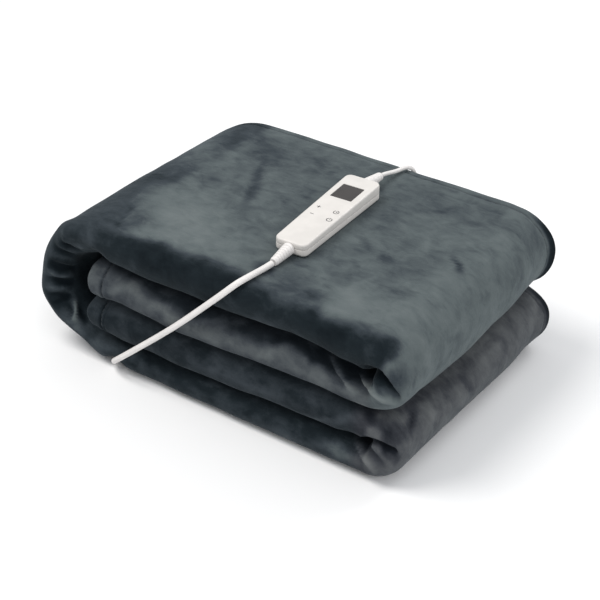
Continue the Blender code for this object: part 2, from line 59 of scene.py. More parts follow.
CTRL_LENGTH, CTRL_W_FRONT, CTRL_W_BACK = 0.1350, 0.0340, 0.0375
CTRL_BASE_Z, CTRL_TOP_FRONT, CTRL_TOP_BACK = HEIGHT + 0.0004, 0.1635, 0.1675
CTRL_SPLIT = 0.0072
WINDOW_W, WINDOW_L, WINDOW_Y = 0.0225, 0.0255, 0.0345
FIT = 0.0003
RELIEF_ROOT_R, RELIEF_TIP_R, RELIEF_LENGTH = 0.0060, 0.0039, 0.0255
COIL_X, COIL_Y = -0.0783, 0.2120
PLUG_X, PLUG_BACK_Y, PLUG_Z = -0.0120, 0.2000, 0.0070
PLUG_L, PLUG_W, PLUG_T = 0.0340, 0.0353, 0.0137
JOINER_X, JOINER_Y0, JOINER_Z = 0.0300, 0.1389, 0.0087
JOINER_W, JOINER_L, JOINER_T = 0.0340, 0.0330, 0.0130


def smooth(t):
    t = np.clip(t, 0.0, 1.0)
    return t * t * (3 - 2 * t)


def bell(t):
    return np.exp(-t * t)


# ---------------------------------------------------------------- camera, floor and light
def look():
    scene = bpy.context.scene
    scene.view_settings.view_transform = "Standard"
    a, e, roll = math.radians(35.4396), math.radians(31.6735), math.radians(-0.4646)
    back = Vector((math.sin(a) * math.cos(e), -math.cos(a) * math.cos(e), math.sin(e)))
    data = bpy.data.cameras.new("camera")
    camera = bpy.data.objects.new("camera", data)
    scene.collection.objects.link(camera)
    data.sensor_width = 36.0
    data.lens = 36.0 * 1632.09 / 600
    data.shift_x, data.shift_y = 3.317 / 600, -22.903 / 600
    data.clip_start, data.clip_end = 0.05, 30
    camera.rotation_mode = "QUATERNION"
    straight = (-back).to_track_quat("-Z", "Y")
    camera.rotation_quaternion = straight @ Matrix.Rotation(-roll, 3, "Z").to_quaternion()
    camera.location = Vector((0, 0, 0.075)) + back * 1.5808
    scene.camera = camera

    def area(name, at, to, size, power, colour=(1, 1, 1)):
        light = bpy.data.lights.new(name, "AREA")
        light.shape, light.size, light.energy, light.color = "DISK", size, power, colour
        obj = bpy.data.objects.new(name, light)
        scene.collection.objects.link(obj)
        obj.location = at
        obj.rotation_mode = "QUATERNION"
        obj.rotation_quaternion = (Vector(to) - Vector(at)).to_track_quat("-Z", "Y")

    area("key", (-0.9, -0.7, 2.0), (0, 0, 0.08), 1.3, 32, (1.0, 0.985, 0.965))
    area("fill", (1.8, -0.9, 1.1), (0, 0, 0.08), 1.6, 15, (0.99, 0.99, 1.0))
    area("rim", (0.5, 1.8, 1.5), (0, 0, 0.10), 1.2, 16, (1.0, 1.0, 1.0))
    world = bpy.data.worlds.new("studio")
    scene.world = world
    world.use_nodes = True
    world.node_tree.nodes["Background"].inputs["Color"].default_value = (0.95, 0.97, 1.0, 1)
    world.node_tree.nodes["Background"].inputs["Strength"].default_value = 0.55

    bpy.ops.mesh.primitive_plane_add(size=14, location=(0, 0, -0.0004))
    floor = bpy.context.active_object
    floor.name = "floor"
    mat = bpy.data.materials.new("pale_floor")
    mat.use_nodes = True
    shader = mat.node_tree.nodes["Principled BSDF"]
    shader.inputs["Base Color"].default_value = (0.93, 0.93, 0.93, 1)
    shader.inputs["Roughness"].default_value = 0.9
    shader.inputs["Specular IOR Level"].default_value = 0.1
    floor.data.materials.append(mat)


look()


# ---------------------------------------------------------------- small node helpers
class Nodes:
    """Short names for building one material."""

    def __init__(self, name):
        self.mat = bpy.data.materials.new(name)
        self.mat.use_nodes = True
        self.tree = self.mat.node_tree
        self.shader = self.tree.nodes["Principled BSDF"]

    def add(self, kind, **settings):
        node = self.tree.nodes.new(kind)
        for key, value in settings.items():
            setattr(node, key, value)
        return node

    def put(self, value, socket):
        if isinstance(value, bpy.types.NodeSocket):
            self.tree.links.new(value, socket)
        else:
            socket.default_value = value

    def math(self, operation, a, b=0.0, c=0.0, clamp=False):
        node = self.add("ShaderNodeMath", operation=operation, use_clamp=clamp)
        self.put(a, node.inputs[0])
        self.put(b, node.inputs[1])
        if operation in ("MULTIPLY_ADD", "SMOOTH_MIN", "SMOOTH_MAX"):
            self.put(c, node.inputs[2])
        return node.outputs[0]

    def noise(self, vector, scale, detail=2.0, rough=0.5, distort=0.0):
        node = self.add("ShaderNodeTexNoise")
        self.put(vector, node.inputs["Vector"])
        node.inputs["Scale"].default_value = scale
        node.inputs["Detail"].default_value = detail
        node.inputs["Roughness"].default_value = rough
        node.inputs["Distortion"].default_value = distort
        return node.outputs["Fac"]

    def place(self):
        return self.add("ShaderNodeTexCoord").outputs["Object"]

    def stretched(self, vector, scale, turn=(0, 0, 0)):
        node = self.add("ShaderNodeMapping")
        self.put(vector, node.inputs["Vector"])
        node.inputs["Scale"].default_value = scale
        node.inputs["Rotation"].default_value = turn
        return node.outputs[0]

    def ramp(self, value, stops):
        node = self.add("ShaderNodeValToRGB")
        ramp = node.color_ramp
        while len(ramp.elements) < len(stops):
            ramp.elements.new(0.5)
        for element, (at, colour) in zip(ramp.elements, stops):
            element.position = at
            element.color = (*colour, 1)
        self.put(value, node.inputs[0])
        return node.outputs[0]

    def span(self, value, low, high, to_low=0.0, to_high=1.0):
        node = self.add("ShaderNodeMapRange", clamp=True)
        node.interpolation_type = "SMOOTHSTEP"
        self.put(value, node.inputs["Value"])
        for key, number in (("From Min", low), ("From Max", high), ("To Min", to_low), ("To Max", to_high)):
            node.inputs[key].default_value = number
        return node.outputs[0]

    def mix(self, share, a, b, kind="MIX"):
        node = self.add("ShaderNodeMix", data_type="RGBA", blend_type=kind)
        self.put(share, node.inputs[0])
        for value, socket in ((a, node.inputs[6]), (b, node.inputs[7])):
            self.put(value if isinstance(value, bpy.types.NodeSocket) else (*value, 1), socket)
        return node.outputs[2]

    def bump(self, height, strength, distance, before=None):
        node = self.add("ShaderNodeBump")
        node.inputs["Strength"].default_value = strength
        node.inputs["Distance"].default_value = distance
        self.put(height, node.inputs["Height"])
        if before is not None:
            self.put(before, node.inputs["Normal"])
        return node.outputs[0]

    def named(self, attribute):
        return self.add("ShaderNodeAttribute", attribute_name=attribute).outputs["Fac"]


# ---------------------------------------------------------------- materials
def plush_material():
    n = Nodes("plush_flannel")
    at = n.place()
    # the per-point value read here is the pile's lie together with painted shade and painted light on the folds
    nap, warm = n.named("nap"), n.named("warm")
    broad = n.noise(at, 17.0, 3.0, 0.55, 0.7)
    patch = n.noise(n.stretched(at, (1.0, 1.35, 1.0), (0, 0, 0.6)), 46.0, 3.0, 0.55, 0.5)
    stroke = n.noise(n.stretched(at, (0.55, 1.7, 1.0), (0.2, 0.3, 0.9)), 130.0, 2.0, 0.6, 0.5)
    fuzz = n.noise(at, 900.0, 2.0, 0.6)
    level = n.math("MULTIPLY_ADD", n.math("SUBTRACT", broad, 0.5), 0.26, nap)
    level = n.math("MULTIPLY_ADD", n.math("SUBTRACT", patch, 0.5), 0.44, level)
    level = n.math("MULTIPLY_ADD", n.math("SUBTRACT", stroke, 0.5), 0.14, level)
    fleck = n.span(n.noise(n.stretched(at, (0.8, 1.3, 1.2), (0.3, 0.1, 0.5)), 62.0, 3.0, 0.55, 0.2), 0.52, 0.74)
    level = n.math("MULTIPLY_ADD", fleck, -0.07, level)
    level = n.math("MULTIPLY_ADD", n.math("SUBTRACT", fuzz, 0.5), 0.10, level, clamp=True)
    cool = n.ramp(level, [(0.0, (0.0042, 0.0074, 0.0098)), (0.18, (0.0102, 0.0158, 0.0192)), (0.42, (0.036, 0.046, 0.054)), (0.68, (0.090, 0.110, 0.113)), (1.0, (0.142, 0.165, 0.166))])
    grey = n.ramp(level, [(0.0, (0.0060, 0.0070, 0.0100)), (0.18, (0.0125, 0.0135, 0.0185)), (0.42, (0.044, 0.045, 0.052)), (0.68, (0.110, 0.111, 0.115)), (1.0, (0.168, 0.167, 0.169))])
    colour = n.mix(warm, cool, grey)
    n.put(colour, n.shader.inputs["Base Color"])
    n.put(n.span(level, 0.0, 1.0, 0.97, 0.86), n.shader.inputs["Roughness"])
    n.shader.inputs["Specular IOR Level"].default_value = 0.08
    n.shader.inputs["Sheen Weight"].default_value = 0.09
    n.shader.inputs["Sheen Roughness"].default_value = 0.42
    n.shader.inputs["Sheen Tint"].default_value = (0.62, 0.72, 0.78, 1)
    pile = n.bump(fuzz, 0.35, 0.0006)
    combed = n.bump(stroke, 0.30, 0.0016, pile)
    n.put(n.bump(patch, 0.25, 0.0030, combed), n.shader.inputs["Normal"])
    return n.mat


def plastic_material(name, colour, rough, grain=0.06, gloss=0.45):
    n = Nodes(name)
    at = n.place()
    fine = n.noise(at, 2600.0, 2.0, 0.5)
    wide = n.noise(at, 60.0, 2.0, 0.5)
    dull = tuple(c * 0.93 for c in colour)
    n.put(n.mix(n.span(wide, 0.35, 0.7), colour, dull), n.shader.inputs["Base Color"])
    n.put(n.span(wide, 0.3, 0.7, rough - 0.04, rough + 0.06), n.shader.inputs["Roughness"])
    n.shader.inputs["Specular IOR Level"].default_value = gloss
    n.put(n.bump(fine, grain, 0.0002), n.shader.inputs["Normal"])
    return n.mat


def display_material():
    n = Nodes("dark_display")
    at = n.place()
    wide = n.noise(at, 90.0, 2.0, 0.5)
    n.put(n.mix(n.span(wide, 0.35, 0.65), (0.030, 0.025, 0.022), (0.038, 0.032, 0.029)), n.shader.inputs["Base Color"])
    n.put(n.span(wide, 0.3, 0.7, 0.30, 0.38), n.shader.inputs["Roughness"])
    n.shader.inputs["Coat Weight"].default_value = 0.35
    n.shader.inputs["Coat Roughness"].default_value = 0.12
    return n.mat


def print_material():
    n = Nodes("printed_marks")
    at = n.place()
    n.put(n.mix(n.noise(at, 700.0, 2.0), (0.045, 0.045, 0.048), (0.085, 0.085, 0.088)), n.shader.inputs["Base Color"])
    n.shader.inputs["Roughness"].default_value = 0.55
    return n.mat


def metal_material():
    n = Nodes("nickelled_pin")
    at = n.place()
    scratch = n.noise(n.stretched(at, (1.0, 0.06, 1.0)), 1500.0, 2.0)
    n.put(n.mix(scratch, (0.62, 0.60, 0.56), (0.76, 0.74, 0.70)), n.shader.inputs["Base Color"])
    n.shader.inputs["Metallic"].default_value = 1.0
    n.put(n.span(scratch, 0.3, 0.7, 0.22, 0.36), n.shader.inputs["Roughness"])
    return n.mat


def band_material():
    n = Nodes("tie_band")
    at = n.place()
    weave = n.noise(n.stretched(at, (1.0, 1.0, 1.0)), 1800.0, 2.0)
    n.put(n.mix(weave, (0.60, 0.59, 0.57), (0.78, 0.77, 0.75)), n.shader.inputs["Base Color"])
    n.shader.inputs["Roughness"].default_value = 0.9
    n.put(n.bump(weave, 0.5, 0.0004), n.shader.inputs["Normal"])
    return n.mat


PLUSH = plush_material()
HOUSING = plastic_material("warm_white_housing", (0.700, 0.672, 0.638), 0.42)
SOFT_WHITE = plastic_material("warm_white_soft", (0.78, 0.755, 0.735), 0.48, 0.10, 0.40)
JACKET = plastic_material("warm_white_jacket", (0.76, 0.735, 0.715), 0.44, 0.08, 0.42)
DISPLAY = display_material()
PRINT = print_material()
METAL = metal_material()
BAND = band_material()


# ---------------------------------------------------------------- smooth routes for the leads
def smooth_route(knots, spacing):
    """Points a little under the spacing apart, read from one natural cubic spline through the knots."""
    pts = np.array(knots, float)
    t = np.concatenate([[0], np.cumsum(np.linalg.norm(np.diff(pts, axis=0), axis=1))])
    n = len(pts)
    m = np.zeros((n, n))
    right = np.zeros((n, 3))
    m[0, 0] = m[-1, -1] = 1.0
    for i in range(1, n - 1):
        h0, h1 = t[i] - t[i - 1], t[i + 1] - t[i]
        m[i, i - 1 : i + 2] = h0, 2 * (h0 + h1), h1
        right[i] = 6 * ((pts[i + 1] - pts[i]) / h1 - (pts[i] - pts[i - 1]) / h0)
    bend = np.linalg.solve(m, right)
    s = np.linspace(0, t[-1], max(2, math.ceil(t[-1] / spacing)) + 1)
    seg = np.clip(np.searchsorted(t, s, side="right") - 1, 0, n - 2)
    h = (t[seg + 1] - t[seg])[:, None]
    a, b = (t[seg + 1] - s)[:, None] / h, (s - t[seg])[:, None] / h
    return a * pts[seg] + b * pts[seg + 1] + ((a**3 - a) * bend[seg] + (b**3 - b) * bend[seg + 1]) * h * h / 6


def mains_knots():
    floor = LEAD_D / 2 + LEAD_CLEAR
    return [
        (0.0432, -0.0988, 0.1541), (0.0425, -0.1055, 0.1537), (0.0409, -0.1189, 0.1536), (0.0392, -0.1287, 0.1532), (0.0347, -0.1382, 0.1500),
        (0.0270, -0.1457, 0.1421), (0.0152, -0.1475, 0.1300), (-0.0282, -0.1477, 0.0868), (-0.0739, -0.1477, 0.0449), (-0.1027, -0.1488, 0.0196),
        (-0.1113, -0.1445, 0.0116), (-0.1174, -0.1350, 0.0052), (TENT_X, -0.1229, floor), (TENT_X, -0.1000, floor), (TENT_X, -0.0300, floor),
        (TENT_X, 0.0600, floor), (TENT_X, 0.1400, floor), (TENT_X, 0.1650, floor + 0.0006),
    ]


def coil_knots():
    """Two and a half turns inwards on the surface, up by one diameter, and two and a half outwards on top of them."""
    outer, inner, low, high = 0.0421, 0.0269, 0.0045, 0.0107
    turns_in, climb, turns_out = 2.5, 0.25, 2.5
    total = turns_in + climb + turns_out
    count = int(total * 18)
    made = []
    for k in range(count + 1):
        turn = total * k / count
        angle = math.pi - 2 * math.pi * turn
        if turn <= turns_in:
            r, z = outer - (outer - inner) * turn / turns_in, low
        elif turn <= turns_in + climb:
            share = (turn - turns_in) / climb
            r, z = inner, low + (high - low) * share * share * (3 - 2 * share)
        else:
            r, z = inner + (outer - inner) * (turn - turns_in - climb) / turns_out, high
        made.append((COIL_X + r * math.cos(angle), COIL_Y + r * math.sin(angle), z))
    return made


def tail_knots():
    edge = COIL_Y + 0.0421
    return [
        (COIL_X + 0.0160, edge, 0.0104), (COIL_X + 0.0310, edge - 0.0001, 0.0096), (PLUG_X - 0.0261, edge, 0.0093), (PLUG_X - 0.0076, edge - 0.0082, 0.0078),
        (PLUG_X - 0.0010, edge - 0.0190, 0.0073), (PLUG_X, PLUG_BACK_Y + RELIEF_LENGTH + 0.0040, PLUG_Z), (PLUG_X, PLUG_BACK_Y + RELIEF_LENGTH + 2 * FIT, PLUG_Z),
    ]


def blanket_lead_knots():
    return [
        (0.0351, 0.0911, 0.1586), (0.0357, 0.0985, 0.1573), (0.0366, 0.1085, 0.1550), (0.0375, 0.1180, 0.1533), (0.0383, 0.1260, 0.1524),
        (0.0392, 0.1335, 0.1504), (0.0401, 0.1405, 0.1459), (0.0410, 0.1447, 0.1382), (0.0420, 0.1472, 0.1280), (0.0440, 0.1479, 0.1150),
        (0.0500, 0.1480, 0.0960), (0.0605, 0.1480, 0.0750), (0.0722, 0.1481, 0.0560), (0.0812, 0.1488, 0.0390), (0.0856, 0.1522, 0.0230),
        (0.0868, 0.1602, 0.0103), (0.0872, 0.1735, 0.0033), (0.0873, 0.1929, 0.0029), (0.0848, 0.2078, 0.0025), (0.0742, 0.2220, 0.0029),
        (0.0581, 0.2273, 0.0036), (0.0430, 0.2225, 0.0062), (0.0331, 0.2103, 0.0080),
        (JOINER_X + 0.0002, 0.2000, 0.0086),
        (JOINER_X, JOINER_Y0 + JOINER_L + RELIEF_LENGTH * 0.85 + 3 * FIT, JOINER_Z),
    ]


def collect(obj):
    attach(obj, "root")
    return obj


def new_object(name, data, mat):
    obj = bpy.data.objects.new(name, data)
    bpy.context.scene.collection.objects.link(obj)
    obj.data.materials.append(mat)
    return obj


def lead(name, route, mat, thickness):
    curve = bpy.data.curves.new(name, "CURVE")
    curve.dimensions = "3D"
    curve.bevel_depth = thickness / 2
    curve.bevel_resolution = 4
    curve.use_fill_caps = True
    spline = curve.splines.new("POLY")
    spline.points.add(len(route) - 1)
    spline.points.foreach_set("co", np.concatenate([route, np.ones((len(route), 1))], axis=1).ravel())
    spline.use_smooth = True
    return collect(new_object(name, curve, mat))


mains_route = smooth_route(mains_knots() + coil_knots() + tail_knots(), 0.0030)
mains = lead("mains_lead_whole", mains_route, JACKET, LEAD_D)
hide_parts("mains_lead", "mains_lead_coil", "mains_lead_tail")
blanket_route = smooth_route(blanket_lead_knots(), 0.0030)
hem_lead = lead("blanket_lead_whole", blanket_route, JACKET, HEM_LEAD_D)
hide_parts("blanket_lead")


# ---------------------------------------------------------------- the blanket: how it is folded
def path_table(step=0.0005):
    """The outer line along the blanket's length, as arrays over s: upper flap, right fold, top deck, wide fold, bottom deck, right fold, lower flap."""
    loop_x, wide_x = LENGTH / 2 - LOOP_R, -LENGTH / 2 + WIDE_R
    upper, lower = HEIGHT / 2 + DECK_GAP / 2, HEIGHT / 2 - DECK_GAP / 2
    squeeze = lambda x: 1 - (1 - LOOP_SQUEEZE) * smooth((x - loop_x + SQUEEZE_RUN) / SQUEEZE_RUN)
    pull_at = np.radians([90, 140, 180, 212, 234, 252, 270])
    pull = np.array([1.0, 0.995, 1.0, 0.985, 0.958, 0.972, 1.0])
    rows, breaks, s = [], [0.0], 0.0

    def line(x0, x1, z, out):
        nonlocal s
        n = int(abs(x1 - x0) / step)
        x = np.linspace(x0, x1, n + 1)
        here = s + np.abs(x - x0)
        rows.append(np.stack([here, x, np.full(n + 1, z), np.zeros(n + 1), np.full(n + 1, out), squeeze(x)], 1))
        s = here[-1]
        breaks.append(s)

    def arc(cx, cz, r, a0, a1, squeezed, shaped=False):
        nonlocal s
        n = int(r * abs(a1 - a0) / step)
        a = np.linspace(a0, a1, n + 1)
        here = s + r * np.abs(a - a0)
        radius = r * (np.interp(a, pull_at, pull) if shaped else 1.0) * np.ones(n + 1)
        if shaped:
            k = np.ones(41) / 41
            radius = np.convolve(np.pad(radius, 20, mode="edge"), k, mode="valid")
        rows.append(np.stack([here, cx + radius * np.cos(a), cz + radius * np.sin(a), np.cos(a), np.sin(a), np.full(n + 1, squeezed)], 1))
        s = here[-1]
        breaks.append(s)

    half = math.pi / 2
    line(UPPER_END, loop_x, upper, -1.0)
    arc(loop_x, upper + LOOP_R, LOOP_R, -half, half, LOOP_SQUEEZE)
    line(loop_x, wide_x, HEIGHT, 1.0)
    arc(wide_x, HEIGHT / 2, WIDE_R, half, 3 * half, 1.0, shaped=True)
    line(wide_x, loop_x, 0.0, -1.0)
    arc(loop_x, LOOP_R, LOOP_R, -half, half, LOOP_SQUEEZE)
    line(loop_x, LOWER_END, lower, 1.0)
    return np.concatenate(rows), breaks


def section_table(step=0.0004):
    """The folded width as arrays over w: y, depth, and the way the cloth runs. From the first ply's hem to the second ply's."""
    front, tight, wide = -DEPTH / 2 + DECK / 2, (CLOTH + PLY_GAP) / 2, DECK / 2 - CLOTH / 2
    back = DEPTH / 2 - tight - CLOTH / 2
    d1, d2, d3, d4 = (CLOTH / 2 + k * (CLOTH + PLY_GAP) for k in range(4))
    rows, breaks, w = [], [0.0], 0.0

    def line(y0, y1, d, along):
        nonlocal w
        n = int(abs(y1 - y0) / step)
        y = np.linspace(y0, y1, n + 1)
        here = w + np.abs(y - y0)
        rows.append(np.stack([here, y, np.full(n + 1, d), np.full(n + 1, along), np.zeros(n + 1)], 1))
        w = here[-1]
        breaks.append(w)

    def arc(r, y_of, d_of, ty_of, td_of):
        nonlocal w
        n = max(8, int(r * math.pi / step))
        a = np.linspace(0, math.pi, n + 1)
        here = w + r * a
        rows.append(np.stack([here, y_of(a), d_of(a), ty_of(a), td_of(a)], 1))
        w = here[-1]
        breaks.append(w)

    line(HEM_1, front, d1, -1.0)
    arc(wide, lambda a: front - wide * np.sin(a), lambda a: DECK / 2 - wide * np.cos(a), lambda a: -np.cos(a), lambda a: np.sin(a))
    line(front, back, d4, 1.0)
    arc(tight, lambda a: back + tight * np.sin(a), lambda a: (d3 + d4) / 2 + tight * np.cos(a), lambda a: np.cos(a), lambda a: -np.sin(a))
    line(back, front, d3, -1.0)
    arc(tight, lambda a: front - tight * np.sin(a), lambda a: DECK / 2 + tight * np.cos(a), lambda a: -np.cos(a), lambda a: -np.sin(a))
    line(front, HEM_2, d2, 1.0)
    return np.concatenate(rows), breaks


PATH, S = path_table()
SECTION, W = section_table()
# the stretches of the blanket's length, by name
UPPER, UPPER_LOOP, TOP, WIDE, BOTTOM, LOWER_LOOP, LOWER = range(7)


def on(stretch, s, fade=0.030):
    """1 on that stretch of the length, easing to 0 over a short run on its neighbours."""
    return smooth((s - S[stretch] + fade) / fade) * smooth((S[stretch + 1] + fade - s) / fade)


# how far the lines between the decks rise or sink along the front, and the right side's line along its length
Wave = namedtuple("Wave", "at rise")
GAP_1 = (Wave(-0.160, -3.0), Wave(-0.133, -3.4), Wave(-0.102, -4.6), Wave(-0.068, -6.7), Wave(-0.034, -4.4), Wave(-0.001, -5.9), Wave(0.041, -5.1), Wave(0.091, 0.1), Wave(0.112, -1.6), Wave(0.127, -4.1), Wave(0.145, -7.7), Wave(0.158, -10.2), Wave(0.171, -12.0), Wave(0.209, -12.0))
GAP_2 = (Wave(-0.133, -4.4), Wave(-0.105, -2.8), Wave(-0.055, -6.8), Wave(-0.030, -8.1), Wave(0.036, -4.2), Wave(0.100, -1.9), Wave(0.150, -2.0), Wave(0.178, -1.5), Wave(0.209, 0.0))
GAP_3 = (Wave(-0.135, -4.1), Wave(-0.107, -8.3), Wave(-0.066, -7.5), Wave(-0.033, -8.3), Wave(0.032, -7.2), Wave(0.084, -4.5), Wave(0.147, -2.9), Wave(0.182, -1.5), Wave(0.209, -1.5))
SIDE_GAP = (Wave(-0.144, 0.8), Wave(-0.115, -8.0), Wave(-0.070, -15.8), Wave(-0.010, -18.0), Wave(0.030, -11.2), Wave(0.100, -9.0), Wave(0.144, -9.0))

Hollow = namedtuple("Hollow", "x y reach drop")
HOLLOWS = (
    Hollow(-0.100, 0.060, 0.060, 0.0016),
    Hollow(-0.060, -0.070, 0.045, 0.0012),
    Hollow(0.120, -0.020, 0.050, 0.0018),
    Hollow(0.140, 0.090, 0.055, 0.0022),
    Hollow(-0.175, 0.110, 0.060, 0.0018),
    Hollow(0.212, 0.140, 0.034, 0.0062),
)

# creases and ridges that were pressed into the pile: points are (along the blanket, across it) in millimetres on the unfolded sheet.
# height under 0 is a trough
Fold = namedtuple("Fold", "width height points")
FOLDS = (
    # wrinkles round the wide fold front
    Fold(2.0, 3.2, ((757, 291), (749, 292))),
    Fold(2.8, -4.6, ((785, 283), (776, 292), (772, 297))),
    Fold(3.2, -4.6, ((800, 281), (797, 289), (796, 297))),
    Fold(2.0, 3.2, ((834, 286), (841, 289), (845, 294), (847, 300))),
    Fold(3.2, -5.2, ((824, 286), (828, 293), (833, 303))),
    Fold(3.0, 3.8, ((860, 287), (863, 291), (865, 297))),
    Fold(2.6, -4.6, ((849, 287), (854, 293), (858, 299))),
    Fold(2.2, -4.1, ((872, 286), (875, 290), (881, 295))),
    Fold(2.2, -4.6, ((885, 287), (883, 290), (882, 295))),
    Fold(2.0, 4.9, ((893, 299), (904, 296), (921, 289))),
    Fold(3.0, -4.6, ((905, 299), (918, 295), (934, 293))),
    Fold(3.0, -3.8, ((891, 293), (907, 291), (915, 287))),
    # soft marks on the top
    Fold(4.5, -1.3, ((689, 76), (667, 123), (648, 159))),
    Fold(3.0, 0.9, ((737, 55), (720, 55), (703, 56))),
    Fold(3.0, -0.9, ((730, 72), (715, 73), (698, 74))),
    Fold(2.8, -1.6, ((730, 228), (726, 247), (719, 265))),
    Fold(2.4, -1.3, ((514, 29), (479, 25), (438, 27))),
    Fold(2.2, -1.3, ((438, 126), (429, 132), (420, 135))),
    Fold(2.4, 0.9, ((486, 221), (480, 206), (476, 189))),
    Fold(3.5, -1.0, ((672, 34), (646, 45), (623, 60))),
    Fold(3.0, -1.0, ((433, 79), (419, 90), (409, 96))),
    Fold(3.5, 1.2, ((404, 235), (391, 237), (379, 240))),
    # streaks down the lower right fold
    Fold(4.0, -1.8, ((1375, 232), (1360, 245), (1350, 259))),
    Fold(4.0, 1.6, ((1373, 210), (1356, 221), (1338, 232))),
    Fold(4.0, -1.6, ((1367, 157), (1351, 157), (1332, 154))),
    Fold(4.0, -1.4, ((1367, 91), (1352, 90), (1334, 86))),
)


# small pulls of the whole front, where the stack is seen from before its right corner: millimetres, as if on the front's own plane
EYE = (0.7801, -1.0960, 0.9051)
Pull = namedtuple("Pull", "x z dx dz reach")
PULLS = (
    Pull(-197, 60, -4.5, -3.0, 17),
    Pull(-166, 26, 0.0, 3.5, 17),
    Pull(-150, 14, 0.0, 6.0, 17),
    Pull(-148, 106, -5.5, -2.0, 15),
    Pull(-136, 121, -7.0, -2.0, 11),
    Pull(-148, 66, -4.5, -1.5, 14),
    Pull(-152, 134, -10.0, 3.0, 13),
)


# pleats and slits of the stack's front, every ply together: points are (x, z) in millimetres on the front's plane as seen from before its right corner.
# depth under 0 stands out; power 4 has steeper walls than 2
Dent = namedtuple("Dent", "stretches width depth power points")
DENTS = (
    Dent((UPPER, UPPER_LOOP), 2.4, 2.6, 2, ((111, 123), (117, 114), (123, 103))),
    Dent((UPPER, UPPER_LOOP), 4.6, 5.0, 2, ((129, 120), (134, 110), (141, 99), (150, 95))),
    Dent((UPPER, UPPER_LOOP), 2.8, -2.6, 2, ((140, 119), (148, 106), (157, 96), (166, 92))),
    Dent((UPPER, UPPER_LOOP), 5.4, 7.5, 2, ((152, 119), (160, 109), (168, 101), (175, 96))),
    Dent((UPPER, UPPER_LOOP), 2.8, -3.6, 2, ((169, 115), (174, 106), (182, 99), (193, 96), (204, 98))),
    Dent((UPPER, UPPER_LOOP), 4.8, 11.5, 3, ((164, 117), (178, 118), (187, 118), (193, 113), (199, 107), (204, 104))),
    Dent((BOTTOM, LOWER_LOOP), 3.6, -3.2, 2, ((168, 48), (172, 36), (178, 26), (187, 18))),
    Dent((BOTTOM, LOWER_LOOP), 4.2, 3.6, 2, ((179, 40), (184, 34), (193, 29))),
    Dent((BOTTOM, LOWER_LOOP, LOWER), 3.4, 8.0, 3, ((176, 46), (187, 47), (199, 47), (206, 47))),
)


def table(waves, at):
    return np.interp(at, [w.at for w in waves], [w.rise for w in waves]) * MM


def edge_share(s, w):
    """Half the cloth's thickness there, as a share: it rounds off to its four edges."""
    near = np.minimum(np.minimum(s, S[-1] - s), np.minimum(w, W[-1] - w))
    return np.sqrt(np.clip(1 - (1 - np.clip(near / 0.0040, 0, 1)) ** 2, 0.03, 1))


FLAP_SEAM, SIDE_SEAM = 0.0168, 0.0112


def seam_wander(along):
    return 0.0004 * np.sin(along * 97) + 0.0003 * np.sin(along * 231 + 1.3)


def seam_line(w):
    """How far in from a flap's end its stitches run; they slant a little round the front."""
    return FLAP_SEAM + seam_wander(w) + 0.035 * np.clip(w - W[1], -0.02, 0.045)


def seam_groove(s, w):
    """The stitched line of the hem, in from every edge, with small uneven puckers; the lower flap's has a second one."""
    line = seam_line(w)
    flap = np.minimum(s, S[-1] - s) - line
    side = np.minimum(w, W[-1] - w) - SIDE_SEAM - seam_wander(s)
    second = np.abs(S[-1] - s - line - 0.0044)
    deep = bell(flap / 0.0012) * (0.0015 + 0.0005 * np.sin(w * 620))
    deep = np.maximum(deep, bell(side / 0.0014) * (0.0012 + 0.0003 * np.sin(s * 620)))
    # the cloth swells a little to each side of the stitching
    swell = bell((flap - 0.0034) / 0.0026) + bell((flap + 0.0036) / 0.0026)
    return np.maximum(deep, bell(second / 0.0010) * 0.0008) - 0.0007 * swell


def along_line(P, pts):
    """How far each point is from a line through the given points, and its share of the way along it."""
    pts = np.array(pts, float) * MM
    lengths = np.linalg.norm(np.diff(pts, axis=0), axis=1)
    total, before = lengths.sum(), 0.0
    best, where = np.full(P.shape[:-1], 1e9), np.zeros(P.shape[:-1])
    for a, b, length in zip(pts, pts[1:], lengths):
        t = np.clip(((P - a) @ (b - a)) / length**2, 0, 1)
        d = np.linalg.norm(P - a - t[..., None] * (b - a), axis=-1)
        nearer = d < best
        best = np.where(nearer, d, best)
        where = np.where(nearer, (before + t * length) / total, where)
        before += length
    return best, where


def space_push(P, pts, width):
    best, where = along_line(P, pts)
    return bell(best / (width * MM)) * np.sin(np.pi * np.clip(0.10 + 0.80 * where, 0, 1)) ** 0.7


def ripple(P, scale, seed):
    """A smooth uneven field from a few turned sine waves."""
    rng = np.random.default_rng(seed)
    total = np.zeros(P.shape[:-1])
    for k in range(7):
        way = rng.normal(size=3)
        way /= np.linalg.norm(way)
        total += np.sin((P @ way) * scale * rng.uniform(0.6, 1.8) + rng.uniform(0, 6.28)) * rng.uniform(0.5, 1.0)
    return total / 4.0


def tuck_x(y):
    share = np.clip((y - TUCK[1]) / TUCK_R, 0, 1)
    return TUCK[0] - TUCK_SLANT * TUCK_R * np.sqrt(1 - (1 - share) ** 2)


